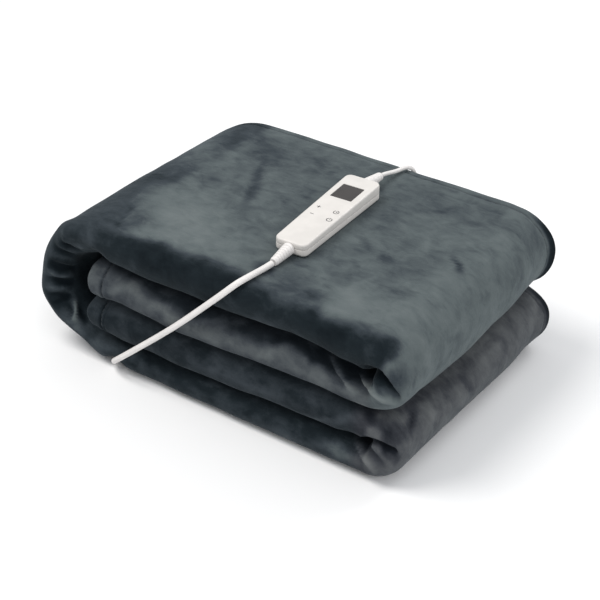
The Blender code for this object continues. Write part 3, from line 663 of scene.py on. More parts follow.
def ideal(s, w, side):
    """Point and outward direction on one face of the folded cloth, before its unevenness."""
    X, Z, OX, OZ, SQ = (np.interp(s, PATH[:, 0], PATH[:, k]) for k in range(1, 6))
    y, d, ty, td = (np.interp(w, SECTION[:, 0], SECTION[:, k]) for k in range(1, 5))
    inset = np.minimum(s, S[-1] - s)
    share = 1 - 0.31 * (1 - np.clip(inset / 0.0065, 0, 1)) ** 2.2
    front = smooth((-y - 0.095) / 0.04)
    in_loop = np.maximum(on(UPPER_LOOP, s, 0.030), on(LOWER_LOOP, s, 0.030))
    SQ = SQ + (0.97 - SQ) * front * in_loop
    off = side * CLOTH / 2 * edge_share(s, w)
    py, pd = y - td * off, d + ty * off
    pd = SQ * (DECK / 2 + (pd - DECK / 2) * share)
    P = np.stack([X - OX * pd, py, Z - OZ * pd], -1)
    N = np.stack([-OX * ty * side, -td * side, -OZ * ty * side], -1)
    return P, N


def surface(s, w, side, toned=False):
    """The cloth's surface; toned also gives how far each point is down in a crease (under 0) or up on a ridge."""
    s, w = np.broadcast_arrays(np.asarray(s, float), np.asarray(w, float))
    tone = np.zeros(s.shape)
    P, N = ideal(s, w, side)
    shown = side > 0
    ply_1 = smooth((W[2] + 0.012 - w) / 0.010)
    if shown:
        out = -seam_groove(s, w)
        lump = ripple(P, 62.0, 3) * 0.0007 + ripple(P, 150.0, 5) * 0.00030
        out = out + lump * ply_1
        for fold in FOLDS:
            line = np.array(fold.points, float) * MM
            margin = fold.width * MM * 2.6 + 0.012
            near = (s > line[:, 0].min() - margin) & (s < line[:, 0].max() + margin) & (w > line[:, 1].min() - margin) & (w < line[:, 1].max() + margin)
            if near.any():
                push = space_push(P[near], ideal(line[:, 0], line[:, 1], 1)[0] / MM, fold.width)
                out[near] += push * fold.height * MM
                # the same amount also goes into tone, for painted shade in the troughs and painted highlight on the
                # ridges
                tone[near] += push * fold.height / 5
        P = P + N * out[..., None]
    else:
        P = P - N * seam_groove(s, w)[..., None] * 0.5

    x, y, z = P[..., 0].copy(), P[..., 1].copy(), P[..., 2].copy()
    front = smooth((-y - 0.080) / 0.060)

    # each deck's front leans its own way
    high = np.clip((z - 0.076) / DECK, 0, 1)
    y += front * on(UPPER, s) * (0.0115 * high - 0.0036)
    high = np.clip((z - 0.0385) / DECK, 0, 1)
    y += front * on(LOWER, s) * (0.0070 * high - 0.0016)
    high = np.clip((z - 0.1145) / DECK, 0, 1)
    y += front * on(TOP, s) * (0.0040 * (1 - high) ** 2)
    high = np.clip(z / DECK, 0, 1)
    y += front * on(BOTTOM, s) * (0.0030 * high**2)
    # the wide fold's front is drawn in towards its hollow
    away = np.hypot(x + LENGTH / 2 - WIDE_R, z - WIDE_R)
    y += front * on(WIDE, s, 0.02) * 0.0100 * smooth((0.062 - away) / 0.022)
    # the lines between the decks wander
    right = smooth((x - 0.130) / 0.060)
    rise_1 = table(GAP_3, x) * front
    rise_2 = table(GAP_2, x) * front * (1 - right) + table(SIDE_GAP, y) * right
    rise_3 = table(GAP_1, x) * front
    q = np.clip(z / HEIGHT * 4, 0, 4)
    k = np.minimum(q.astype(int), 3)
    levels = np.stack([np.zeros(s.shape), rise_1, rise_2, rise_3, np.zeros(s.shape)], -1)
    low = np.take_along_axis(levels, k[..., None], -1)[..., 0]
    top = np.take_along_axis(levels, k[..., None] + 1, -1)[..., 0]
    z += low + (top - low) * (q - k)

    # the front's outline is pulled here and there
    t = (-0.1445 - EYE[1]) / np.where(np.abs(y - EYE[1]) < 1e-6, 1e-6, y - EYE[1])
    seen_x, seen_z = EYE[0] + t * (x - EYE[0]), EYE[2] + t * (z - EYE[2])
    pull_x, pull_z = np.zeros(s.shape), np.zeros(s.shape)
    for p in PULLS:
        near = bell(np.hypot((seen_x - p.x * MM) / (p.reach * MM), (seen_z - p.z * MM) / (p.reach * MM)))
        pull_x += near * p.dx * MM
        pull_z += near * p.dz * MM
    x += pull_x * front
    z += pull_z * front * smooth((z + 0.005) / 0.006)
    for dent in DENTS:
        held = np.clip(sum(on(k, s, 0.006) for k in dent.stretches), 0, 1) * front
        if (held > 0).any():
            best, where = along_line(np.stack([seen_x, seen_z], -1), dent.points)
            deep = np.exp(-((best / (dent.width * MM)) ** dent.power)) * (0.35 + 0.65 * np.sin(np.pi * np.clip(0.08 + 0.84 * where, 0, 1))) * held
            y += deep * dent.depth * MM
            # and into tone: painted shade in the slits and pleats that go in, painted highlight where they stand out
            tone -= deep * np.clip(dent.depth / (7 if dent.depth > 0 else 4), -1, 1)

    # the top settles, the back rolls off, the underside rises over the lead
    up = z / HEIGHT
    drop = sum(h.drop * bell(np.hypot(x - h.x, y - h.y) / h.reach) for h in HOLLOWS)
    drop = drop + (0.0058 - 0.0024 * smooth((x - 0.05) / 0.06)) * np.clip((y - DEPTH / 2 + 0.036) / 0.036, 0, None) ** 2.2
    rise = TENT_RISE * bell((x - tuck_x(y)) / TENT_REACH) * (1 - smooth(z / 0.034))
    z += rise - drop * up * up
    # the right folds narrow towards the back, and the hem flares out at their back ends
    x -= smooth((y - 0.050) / 0.080) * (0.0066 * on(UPPER_LOOP, s, 0.02) + 0.0050 * on(LOWER_LOOP, s, 0.02))
    x += smooth((y - 0.130) / 0.010) * smooth((x - 0.150) / 0.050) * 0.0050 * on(UPPER_LOOP, s, 0.02)
    x += smooth((y - 0.100) / 0.040) * smooth((x - 0.150) / 0.050) * 0.0028 * on(LOWER_LOOP, s, 0.02)
    P = np.stack([x, y, np.maximum(z, 0.0)], -1)
    return (P, tone) if toned else P


def spans(*parts):
    """Values along a line: each part is (start, end, spacing)."""
    made = []
    for a, b, step in parts:
        n = max(1, int(round((b - a) / step)))
        made.append(np.linspace(a, b, n + 1)[:-1])
    made.append([parts[-1][1]])
    return np.concatenate(made)


def row_places():
    end = S[-1]
    hem = [0, 0.4, 0.9, 1.6, 2.6, 4.0, 5.6, 7.4, 9.6, 12.0, 14.0, 15.0, 15.6, 16.1, 16.6, 17.1, 17.6, 18.1, 18.7, 19.6]
    first = np.array(hem + [21.4, 24.0]) * MM
    last = np.array(hem + [20.4, 20.9, 21.4, 21.9, 22.4, 23.0, 24.6]) * MM
    body = spans(
        (0.0280, 0.235, 0.0050), (0.235, S[1], 0.0028), (S[1], S[2], 0.0031), (S[2], S[3], 0.0036), (S[3], S[4], 0.0040),
        (S[4], S[5] - 0.06, 0.0055), (S[5] - 0.06, S[5], 0.0035), (S[5], S[6], 0.0034), (S[6], S[6] + 0.06, 0.0040), (S[6] + 0.06, end - 0.0280, 0.0060),
    )
    return np.concatenate([first, body, (end - last)[::-1]])


def column_places(side):
    end = W[-1]
    first = np.array([0, 0.5, 1.2, 2.4, 4.0, 6.4, 8.6, 9.8, 10.6, 11.2, 11.8, 12.6, 14.0, 16.5]) * MM
    if side > 0:
        body = spans(
            (0.0200, W[1] - 0.02, 0.0035), (W[1] - 0.02, W[1], 0.0026), (W[1], W[2], 0.0017), (W[2], W[2] + 0.03, 0.0035), (W[2] + 0.03, W[3] - 0.01, 0.020),
            (W[3] - 0.01, W[3], 0.005), (W[3], W[4], 0.0022), (W[4], W[4] + 0.02, 0.01), (W[4] + 0.02, W[5] - 0.01, 0.035), (W[5] - 0.01, W[5], 0.01), (W[5], W[6], 0.003),
            (W[6], W[6] + 0.02, 0.01), (W[6] + 0.02, end - 0.020, 0.035),
        )
        return np.concatenate([first, body, (end - first[::2])[::-1]])
    body = spans(
        (0.0200, W[1] - 0.02, 0.036), (W[1] - 0.02, W[1], 0.020), (W[1], W[2], 0.0066), (W[2], W[2] + 0.02, 0.02), (W[2] + 0.02, W[3], 0.045),
        (W[3], W[4], 0.0050), (W[4], W[4] + 0.02, 0.02), (W[4] + 0.02, W[5], 0.050), (W[5], W[6], 0.0070), (W[6], W[6] + 0.02, 0.02), (W[6] + 0.02, end - 0.020, 0.050),
    )
    return np.concatenate([first[::3], body, (end - first[::3])[::-1]])


# patches painted darker or lighter, partly where the pile lies another way and partly painted shade and painted light
# as it falls on the folds: centre and two half-axes in millimetres on the unfolded sheet (along, across), the nap and
# shade value there (0 dark, 1 light), and how strongly it counts
Patch = namedtuple("Patch", "s w as_ aw bs bw nap share")
PATCHES = (
    # top deck
    Patch(662, 219, -56.4, 1.2, -20.7, 38.7, 0.85, 0.8),
    Patch(611, 238, -34.7, -2.3, -8.8, 17.4, 0.8, 0.7),
    Patch(471, 244, -39.0, -10.8, -9.9, 19.6, 0.88, 0.75),
    Patch(422, 201, -8.0, -48.8, -21.6, 17.8, 0.75, 0.6),
    Patch(531, 250, -26.1, -1.5, -9.2, 20.9, 0.39, 0.6),
    Patch(740, 278, -26.3, -5.1, -3.9, 8.5, 0.36, 0.85),
    Patch(727, 273, 16.0, 3.0, -3.0, 7.0, 0.56, 0.8),
    Patch(512, 254, 26.0, 3.0, -3.0, 10.0, 0.32, 0.75),
    Patch(714, 256, -6.8, -24.7, -14.1, 11.7, 0.33, 0.7),
    Patch(712, 276, -21.1, 1.3, -0.9, 6.1, 0.22, 0.8),
    Patch(724, 207, -2.9, -34.9, -18.5, 14.5, 0.59, 0.6),
    Patch(752, 231, -2.0, -19.8, -18.7, 14.6, 0.44, 0.6),
    Patch(757, 90, -2.9, -35.0, -34.1, 31.8, 0.72, 0.7),
    Patch(703, 51, -35.6, 5.4, -11.9, 23.3, 0.36, 0.7),
    Patch(754, 35, -37.8, 7.4, -11.1, 15.5, 0.49, 0.6),
    Patch(671, 3, -30.1, 5.8, -10.7, 23.4, 0.59, 0.6),
    Patch(707, 137, -8.6, -5.4, -7.7, 9.0, 0.39, 0.7),
    Patch(664, 123, -26.4, 49.7, 5.6, 0.2, 0.41, 0.7),
    Patch(619, 127, 15.4, -41.2, -21.7, 7.1, 0.54, 0.5),
    Patch(643, 51, -21.0, 11.2, -2.4, 14.9, 0.41, 0.6),
    Patch(526, 91, -7.6, -3.3, -18.1, 36.4, 0.49, 0.6),
    Patch(516, 151, -8.4, 2.9, -2.2, 7.5, 0.28, 0.7),
    Patch(489, 161, -9.2, 2.4, -1.8, 7.5, 0.33, 0.7),
    Patch(455, 104, -23.9, 1.6, -10.7, 25.7, 0.67, 0.6),
    Patch(506, 55, -26.1, -2.4, -5.5, 13.7, 0.46, 0.6),
    Patch(460, 49, -28.2, 2.8, -5.8, 16.1, 0.52, 0.5),
    Patch(427, 44, -31.4, 5.8, -1.9, 13.1, 0.44, 0.6),
    Patch(397, 33, -14.6, -8.1, -4.3, 23.0, 0.36, 0.6),
    Patch(429, 134, -9.0, 6.3, -0.4, 4.8, 0.2, 0.8),
    Patch(419, 103, -16.5, -8.3, -6.6, 16.5, 0.7, 0.6),
    Patch(397, 246, -9.7, 4.0, 9.0, 23.1, 0.72, 0.6),
    Patch(372, 216, -0.6, -16.0, -24.0, -27.8, 0.67, 0.6),
    Patch(379, 261, -3.4, -15.4, -10.1, -8.6, 0.57, 0.6),
    Patch(369, 166, -1.0, -33.1, -15.1, -20.7, 0.62, 0.6),
    Patch(381, 77, -0.9, -32.9, -18.8, -17.8, 0.54, 0.6),
    Patch(415, 272, -11.6, -4.0, -1.8, 7.1, 0.16, 0.85),
    Patch(412, 192, -7.8, -12.4, -6.0, 8.5, 0.52, 0.5),
    Patch(465, 173, -8.8, -7.7, -5.9, 9.9, 0.49, 0.5),
    Patch(633, 186, -15.1, 0.6, -16.1, 32.9, 0.59, 0.6),
    Patch(644, 275, -43.9, 1.2, -1.2, 6.8, 0.08, 0.8),
    Patch(575, 274, -29.7, 1.3, -0.8, 6.2, 0.08, 0.8),
    Patch(468, 278, -33.2, -0.7, 1.4, 4.8, 0.09, 0.8),
    Patch(567, 242, -10.6, 0.6, -3.8, 11.3, 0.26, 0.6),
    Patch(545, 214, -5.5, -14.9, -7.5, 7.1, 0.46, 0.6),
    Patch(386, 273, -6.2, -3.6, -8.0, 6.7, 0.46, 0.7),
    Patch(523, 199, -4.4, -34.9, -13.3, 11.0, 0.59, 0.5),
    # upper flap
    Patch(5, 295, 7.0, 0.0, 0.0, -10.0, 0.62, 0.85),
    Patch(11, 300, 9.3, -1.3, 1.1, -3.4, 0.42, 0.7),
    Patch(30, 302, 11.1, 0.2, 1.2, -4.2, 0.28, 0.8),
    Patch(46, 289, 28.3, 1.3, -1.2, -4.4, 0.62, 0.85),
    Patch(57, 299, 17.4, -0.8, 1.1, -3.3, 0.22, 0.8),
    Patch(86, 298, 24.9, 0.2, 0.8, -4.5, 0.1, 0.9),
    Patch(95, 289, 20.3, -5.4, -0.6, -4.9, 0.68, 0.85),
    Patch(129, 297, 34.4, 2.0, 1.5, -3.7, 0.07, 0.9),
    Patch(138, 284, 39.1, -0.9, -3.6, -5.7, 0.64, 0.85),
    Patch(184, 298, 38.1, 1.3, 1.9, -5.4, 0.1, 0.9),
    Patch(205, 286, 39.0, 0.2, -1.0, -5.1, 0.64, 0.85),
    Patch(159, 297, 6.8, 1.5, 3.1, -3.0, 0.32, 0.7),
    Patch(230, 298, 24.0, 0.0, 0.6, -4.4, -0.08, 0.9),
    Patch(262, 298, 18.9, 0.2, -0.4, -5.5, -0.10, 0.9),
    Patch(266, 283, 25.4, -1.0, -2.7, -7.8, 0.64, 0.85),
    Patch(289, 291, -0.6, -2.9, -9.5, -0.7, 0.6, 0.6),
    Patch(293, 298, 14.5, -1.2, -1.1, -5.2, -0.10, 0.85),
    Patch(309, 284, 20.1, -1.1, -0.5, -4.9, 0.6, 0.8),
    Patch(351, 282, 14.7, -5.0, -10.2, -2.9, 0.6, 0.8),
    Patch(389, 294, -14.6, -10.4, -12.1, 9.5, 0.02, 0.8),
    # lower flap
    Patch(916, 301, 8.5, -4.5, -12.9, -4.7, 0.44, 0.85),
    Patch(1681, 283, -15.9, 1.2, 2.7, 3.2, 0.2, 0.6),
    Patch(1642, 283, -25.1, -1.3, 0.6, 3.8, 0.16, 0.6),
    Patch(1649, 293, -29.1, 1.2, 3.4, 5.9, 0.34, 0.7),
    Patch(1600, 282, -20.6, 0.9, 0.6, 4.1, 0.24, 0.6),
    Patch(1518, 288, -75.8, 2.5, 2.1, 3.0, 0.36, 0.7),
    Patch(1485, 275, -19.8, 0.4, -0.5, 4.3, 0.14, 0.7),
    Patch(1431, 291, -45.9, -12.5, 1.3, 4.5, 0.44, 0.8),
    Patch(1460, 281, -20.3, 0.3, 0.3, 3.4, 0.3, 0.7),
    Patch(1392, 275, -19.6, -1.3, -1.6, 4.9, 0.08, 0.85),
    Patch(1363, 274, -11.5, -0.3, 0.1, 7.1, 0.12, 0.8),
    Patch(1419, 277, -13.8, 0.1, -0.5, 3.0, 0.26, 0.6),
    # bottom deck
    Patch(921, 288, 23.0, -3.1, 3.0, -5.0, 0.5, 0.85),
    Patch(967, 289, 24.5, 1.3, 1.1, -4.3, 0.46, 0.85),
    Patch(1005, 289, 13.2, 5.2, -0.5, -5.4, 0.3, 0.7),
    Patch(1050, 297, 31.7, -1.2, 0.3, -3.3, 0.08, 0.85),
    Patch(1054, 290, 26.0, 0.5, -0.3, -4.7, 0.24, 0.6),
    Patch(1112, 293, 31.7, 0.8, -0.0, -5.1, 0.22, 0.6),
    Patch(1129, 295, 59.1, 1.0, 0.4, -2.9, 0.08, 0.7),
    Patch(1168, 290, 29.8, 3.0, -0.8, -6.0, 0.14, 0.7),
    Patch(1204, 298, 61.5, -0.6, 1.4, -4.1, 0.08, 0.8),
    Patch(1216, 284, 48.4, 4.2, -3.1, -4.6, 0.4, 0.8),
    Patch(1259, 288, 22.6, 1.4, -1.7, -5.4, 0.54, 0.85),
    Patch(1302, 285, 26.6, -4.5, -10.2, -4.5, 0.56, 0.85),
    Patch(1348, 281, -8.0, -4.6, -5.8, 2.9, 0.12, 0.8),
    Patch(1229, 295, 21.0, 0.2, 0.5, -2.9, 0.16, 0.6),
    # lower right fold
    Patch(1352, 221, 16.0, -31.9, -7.6, -5.0, 0.55, 0.75),
    Patch(1363, 245, 13.8, -30.2, -4.4, -2.8, 0.34, 0.75),
    Patch(1371, 181, -5.9, -43.9, -8.3, 1.2, 0.45, 0.75),
    Patch(1367, 122, 0.5, -39.8, -5.6, 0.5, 0.46, 0.75),
    Patch(1353, 101, -2.2, -37.4, -9.5, -2.3, 0.6, 0.7),
    Patch(1356, 32, -5.4, -20.4, -13.2, -4.1, 0.62, 0.7),
    Patch(1352, 4, -6.1, 1.2, 2.7, 8.6, 0.46, 0.7),
    Patch(1379, 235, -4.6, -19.9, -7.8, 5.9, 0.34, 0.75),
    Patch(1351, 161, 4.2, -33.7, -10.3, -1.3, 0.56, 0.7),
    Patch(1335, 276, 4.3, -4.2, -12.9, -4.1, 0.3, 0.7),
    # wide fold
    Patch(820, 283, -6.2, 4.4, 28.2, 3.2, 0.26, 0.8),
    Patch(862, 286, -0.5, 2.4, 23.8, -1.5, 0.34, 0.8),
    Patch(773, 282, -43.3, 7.0, -15.0, 7.5, 0.26, 0.7),
    Patch(903, 295, 6.1, 3.1, 14.2, -5.7, 0.54, 0.8),
    Patch(829, 292, -1.5, 4.7, 13.1, 1.3, -0.12, 0.85),
    Patch(859, 298, 5.0, 5.9, 11.1, -0.4, -0.12, 0.85),
    Patch(883, 288, 2.6, 3.8, 8.7, -1.5, 0.02, 0.7),
)
# where the top deck's dark front band begins on its upper side; the band is partly the pile's lie and partly painted
# shade where the deck rounds down from the light: (along, across) in millimetres on the sheet
FRONT_NAP_AND_SHADE_START = (
    (398, 266), (406, 265), (415, 267), (424, 268), (435, 268), (445, 269), (463, 270), (485, 269), (507, 267), (529, 267), (551, 266), (576, 263), (600, 259), (625, 257), (647, 259), (668, 262), (688, 265), (709, 269), (730, 272), (750, 276), (773, 277),
)


def nap_and_shade_of(s, w, P, tone):
    """How dark or light the pile is painted (0 dark to 1 light), partly the way it lies and partly painted shade and
    painted light on the folds, and how grey the tone is.
    """
    y = P[..., 1]
    # the edges of the patches wander
    s_at = s + (ripple(P, 120.0, 21) * 0.0046 + ripple(P, 330.0, 22) * 0.0022)
    w_at = w + (ripple(P, 120.0, 23) * 0.0046 + ripple(P, 330.0, 24) * 0.0022)
    # each stretch starts at its own value: the fronts of the flaps and decks and the wide fold are darker, partly the
    # pile's lie and partly painted shade where they face away from the light
    nap = np.full(s.shape, 0.61)
    for stretch, value in ((UPPER, 0.44), (UPPER_LOOP, 0.68), (LOWER_LOOP, 0.58), (LOWER, 0.26), (BOTTOM, 0.27), (WIDE, 0.32)):
        share = on(stretch, s, 0.015)
        nap = nap * (1 - share) + value * share
    # the top deck's dark front band: painted shade together with the pile's lie
    start = np.interp(s_at, [k[0] * MM for k in FRONT_NAP_AND_SHADE_START], [k[1] * MM for k in FRONT_NAP_AND_SHADE_START])
    w_start = w_at + ripple(P, 44.0, 27) * 0.0050
    dark = smooth((w_start - start + 0.010) / 0.022) * smooth((s_at - 0.397) / 0.012) * smooth((S[TOP + 1] + 0.030 - s) / 0.03)
    nap = nap * (1 - dark) + (0.13 + 0.10 * ripple(P, 70.0, 28)) * dark
    # the patches: the pile's lie together with painted shade and painted light
    for p in PATCHES:
        ds, dw = s_at - p.s * MM, w_at - p.w * MM
        area = (p.as_ * p.bw - p.aw * p.bs) * MM
        a, b = (ds * p.bw - dw * p.bs) / area, (dw * p.as_ - ds * p.aw) / area
        near = np.exp(-((a * a + b * b) ** 1.35)) * p.share
        nap = nap * (1 - near) + p.nap * near
    # inner faces of the folds, between the plies, get painted shade, deepest where they turn at the back
    inner = smooth((w - W[2] + 0.012) / 0.010)
    nap = nap * (1 - inner) + 0.14 * inner
    back_fold = smooth((y - 0.1392) / 0.0012) * inner
    nap = nap * (1 - back_fold) + 0.08 * back_fold
    # the seams' grooves and the pressed creases shade the pile, ridges catch the light
    nap = nap - 0.14 * np.clip(seam_groove(s, w) / 0.002, -0.4, 1)
    nap = nap + np.where(tone < 0, 0.50, 0.44) * np.clip(tone, -1, 1)
    # the hem's back ends of the right folds are painted almost black
    x = P[..., 0]
    back_end = smooth((y - 0.1280) / 0.006) * smooth((x - 0.170) / 0.030) * np.maximum(on(UPPER_LOOP, s, 0.004), on(LOWER_LOOP, s, 0.004))
    nap = nap * (1 - back_end) + 0.02 * back_end
    warm = 0.10 + 0.30 * on(UPPER, s, 0.02) + 0.62 * on(LOWER_LOOP, s, 0.02) + 0.10 * on(LOWER, s, 0.02)
    return np.clip(nap, -0.35, 1.1), np.clip(warm, 0, 1)


def make_blanket():
    rows = row_places()
    columns = {1: column_places(1), -1: column_places(-1)}
    verts, nap_and_shade_values, warms, first = [], [], [], {}
    count = 0
    for side in (1, -1):
        s, w = np.meshgrid(rows, columns[side], indexing="ij")
        P, tone = surface(s, w, side, toned=True)
        nap, warm = nap_and_shade_of(s, w, P, tone)
        first[side] = count
        count += P.shape[0] * P.shape[1]
        verts.append(P.reshape(-1, 3))
        nap_and_shade_values.append(nap.ravel())
        warms.append(warm.ravel())
    verts, nap_and_shade_values, warms = np.concatenate(verts), np.concatenate(nap_and_shade_values), np.concatenate(warms)
    faces = []
    n_rows = len(rows)
    for side in (1, -1):
        n = len(columns[side])
        i, j = np.meshgrid(np.arange(n_rows - 1), np.arange(n - 1), indexing="ij")
        a = first[side] + i * n + j
        quad = np.stack([a, a + 1, a + n + 1, a + n], -1).reshape(-1, 4)
        faces.append(quad if side > 0 else quad[:, ::-1])
    a_n, b_n = len(columns[1]), len(columns[-1])
    i = np.arange(n_rows - 1)
    for at, flip in ((0, False), (-1, True)):
        a = first[1] + i * a_n + (a_n - 1 if at else 0)
        b = first[-1] + i * b_n + (b_n - 1 if at else 0)
        quad = np.stack([a, a + a_n, b + b_n, b], -1)
        faces.append(quad[:, ::-1] if flip else quad)
    quads = np.concatenate(faces)
    # the two ends: a strip of triangles between the unlike edges
    tris = []
    for row, flip in ((0, True), (n_rows - 1, False)):
        i = j = 0
        wa, wb = columns[1], columns[-1]
        while i < a_n - 1 or j < b_n - 1:
            a, b = first[1] + row * a_n + i, first[-1] + row * b_n + j
            if j == b_n - 1 or (i < a_n - 1 and wa[i + 1] <= wb[j + 1]):
                tri = (a, a + 1, b)
                i += 1
            else:
                tri = (a, b + 1, b)
                j += 1
            tris.append(tri[::-1] if flip else tri)
    mesh = bpy.data.meshes.new("blanket_plush")
    mesh.from_pydata(verts.tolist(), [], quads.tolist() + tris)
    mesh.update()
    for name, values in (("nap", nap_and_shade_values), ("warm", warms)):
        attribute = mesh.attributes.new(name, "FLOAT", "POINT")
        attribute.data.foreach_set("value", values.astype(np.float32))
    bm = bmesh.new()
    bm.from_mesh(mesh)
    bmesh.ops.recalc_face_normals(bm, faces=bm.faces)
    bm.to_mesh(mesh)
    bm.free()
    mesh.shade_smooth()
    obj = new_object("blanket_plush", mesh, PLUSH)
    collect(obj)
    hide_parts("blanket")
    print("blanket:", n_rows, "rows,", a_n, "+", b_n, "columns,", 2 * len(quads) + len(tris), "triangles")
    return obj


blanket = make_blanket()


def make_stitches():
    """Short thread stitches along the hems where they show, joined in one mesh."""
    runs = []
    pitch, long = 0.0036, 0.0026
    # across each flap's end, round the first ply, the front and the fourth ply
    for end in (0, 1):
        w = np.arange(0.012, W[3], pitch)
        near = seam_line(w)
        s = near if end == 0 else S[-1] - near
        runs.append((s, w, s, w + long))
    # along the first ply's hem at the back
    s = np.arange(0.012, S[-1] - 0.012, pitch)
    w = SIDE_SEAM + seam_wander(s)
    runs.append((s, w, s + long, w))
    verts, faces = [], []
    radius, sides = 0.00032, 5
    for s0, w0, s1, w1 in runs:
        a, b = surface(s0, w0, 1), surface(s1, w1, 1)
        up = surface(s0 + 0.0006, w0, 1) - a
        for p, q, u in zip(a, b, up):
            run = q - p
            length = np.linalg.norm(run)
            if length < 0.0008 or length > 0.006:
                continue
            run /= length
            side = np.cross(run, u)
            if np.linalg.norm(side) < 1e-9:
                continue
            side /= np.linalg.norm(side)
            over = np.cross(run, side)
            base = len(verts)
            for share, r in ((0.0, 0.35), (0.2, 1.0), (0.8, 1.0), (1.0, 0.35)):
                for k in range(sides):
                    angle = 2 * math.pi * k / sides
                    verts.append(p + run * length * share + (side * math.cos(angle) + over * math.sin(angle)) * radius * r)
            for ring in range(3):
                for k in range(sides):
                    a0, a1 = base + ring * sides + k, base + ring * sides + (k + 1) % sides
                    faces.append((a0, a1, a1 + sides, a0 + sides))
            faces.append(tuple(base + k for k in range(sides))[::-1])
            faces.append(tuple(base + 3 * sides + k for k in range(sides)))
    mesh = bpy.data.meshes.new("hem_stitches")
    mesh.from_pydata([tuple(v) for v in verts], [], faces)
    bm = bmesh.new()
    bm.from_mesh(mesh)
    bmesh.ops.recalc_face_normals(bm, faces=bm.faces)
    bm.to_mesh(mesh)
    bm.free()
    mesh.shade_smooth()
    n = Nodes("hem_thread")
    at = n.place()
    n.put(n.mix(n.noise(at, 1500.0, 2.0), (0.018, 0.022, 0.027), (0.040, 0.046, 0.052)), n.shader.inputs["Base Color"])
    n.shader.inputs["Roughness"].default_value = 0.7
    obj = new_object("hem_stitches", mesh, n.mat)
    return collect(obj)


stitches = make_stitches()


# ---------------------------------------------------------------- the controller
def ctrl_matrix():
    return Matrix.Translation((CTRL_X, CTRL_Y, CTRL_BASE_Z)) @ Matrix.Rotation(CTRL_TURN, 4, "Z")


def outline(inset, corner=0.0065, per_corner=10):
    """The housing's rounded outline in its own frame, moved in by inset; narrower at the front."""
    made = []
    half_l = CTRL_LENGTH / 2 - inset
    r = max(corner - inset, 0.0008)
    for sx, sy, start in ((1, 1, 0), (-1, 1, 90), (-1, -1, 180), (1, -1, 270)):
        half_w = (CTRL_W_BACK if sy > 0 else CTRL_W_FRONT) / 2 - inset
        cx, cy = sx * (half_w - r), sy * (half_l - r)
        for k in range(per_corner + 1):
            a = math.radians(start + 90 * k / per_corner)
            made.append((cx + r * math.cos(a), cy + r * math.sin(a)))
    return made


def top_height(y):
    share = (y + CTRL_LENGTH / 2) / CTRL_LENGTH
    return (CTRL_TOP_FRONT + (CTRL_TOP_BACK - CTRL_TOP_FRONT) * share) - CTRL_BASE_Z


def loft(name, levels, close_bottom, hole=None):
    """Rings of the outline joined in order; each level is (inset, height of y)."""
    bm = bmesh.new()
    rings = []
    for inset, height in levels:
        rings.append([bm.verts.new((x, y, height(y))) for x, y in outline(inset)])
    n = len(rings[0])
    for one, two in zip(rings, rings[1:]):
        for k in range(n):
            bm.faces.new((one[k], one[(k + 1) % n], two[(k + 1) % n], two[k]))
    if close_bottom:
        bm.faces.new(rings[0][::-1])
    if hole is None:
        bm.faces.new(rings[-1])
    else:
        inner = [bm.verts.new((x, y, levels[-1][1](y))) for x, y in hole]
        deep = [bm.verts.new((x, y, levels[-1][1](y) - 0.0016)) for x, y in hole]
        edges = [bm.edges.new((inner[k], inner[(k + 1) % len(inner)])) for k in range(len(inner))]
        rim = [bm.edges.get((rings[-1][k], rings[-1][(k + 1) % n])) for k in range(n)]
        bmesh.ops.triangle_fill(bm, edges=edges + rim, use_beauty=True)
        for k in range(len(inner)):
            j = (k + 1) % len(inner)
            bm.faces.new((inner[k], inner[j], deep[j], deep[k]))
        bm.faces.new(deep)
    bmesh.ops.recalc_face_normals(bm, faces=bm.faces)
    mesh = bpy.data.meshes.new(name)
    bm.to_mesh(mesh)
    bm.free()
    mesh.shade_smooth()
    mesh.set_sharp_from_angle(angle=math.radians(40))
    obj = new_object(name, mesh, HOUSING)
    obj.matrix_world = ctrl_matrix()
    return obj


def rounded(width, length, r, per_corner=5, y0=0.0):
    made = []
    for sx, sy, start in ((1, 1, 0), (-1, 1, 90), (-1, -1, 180), (1, -1, 270)):
        for k in range(per_corner + 1):
            a = math.radians(start + 90 * k / per_corner)
            made.append((sx * (width / 2 - r) + r * math.cos(a), y0 + sy * (length / 2 - r) + r * math.sin(a)))
    return made


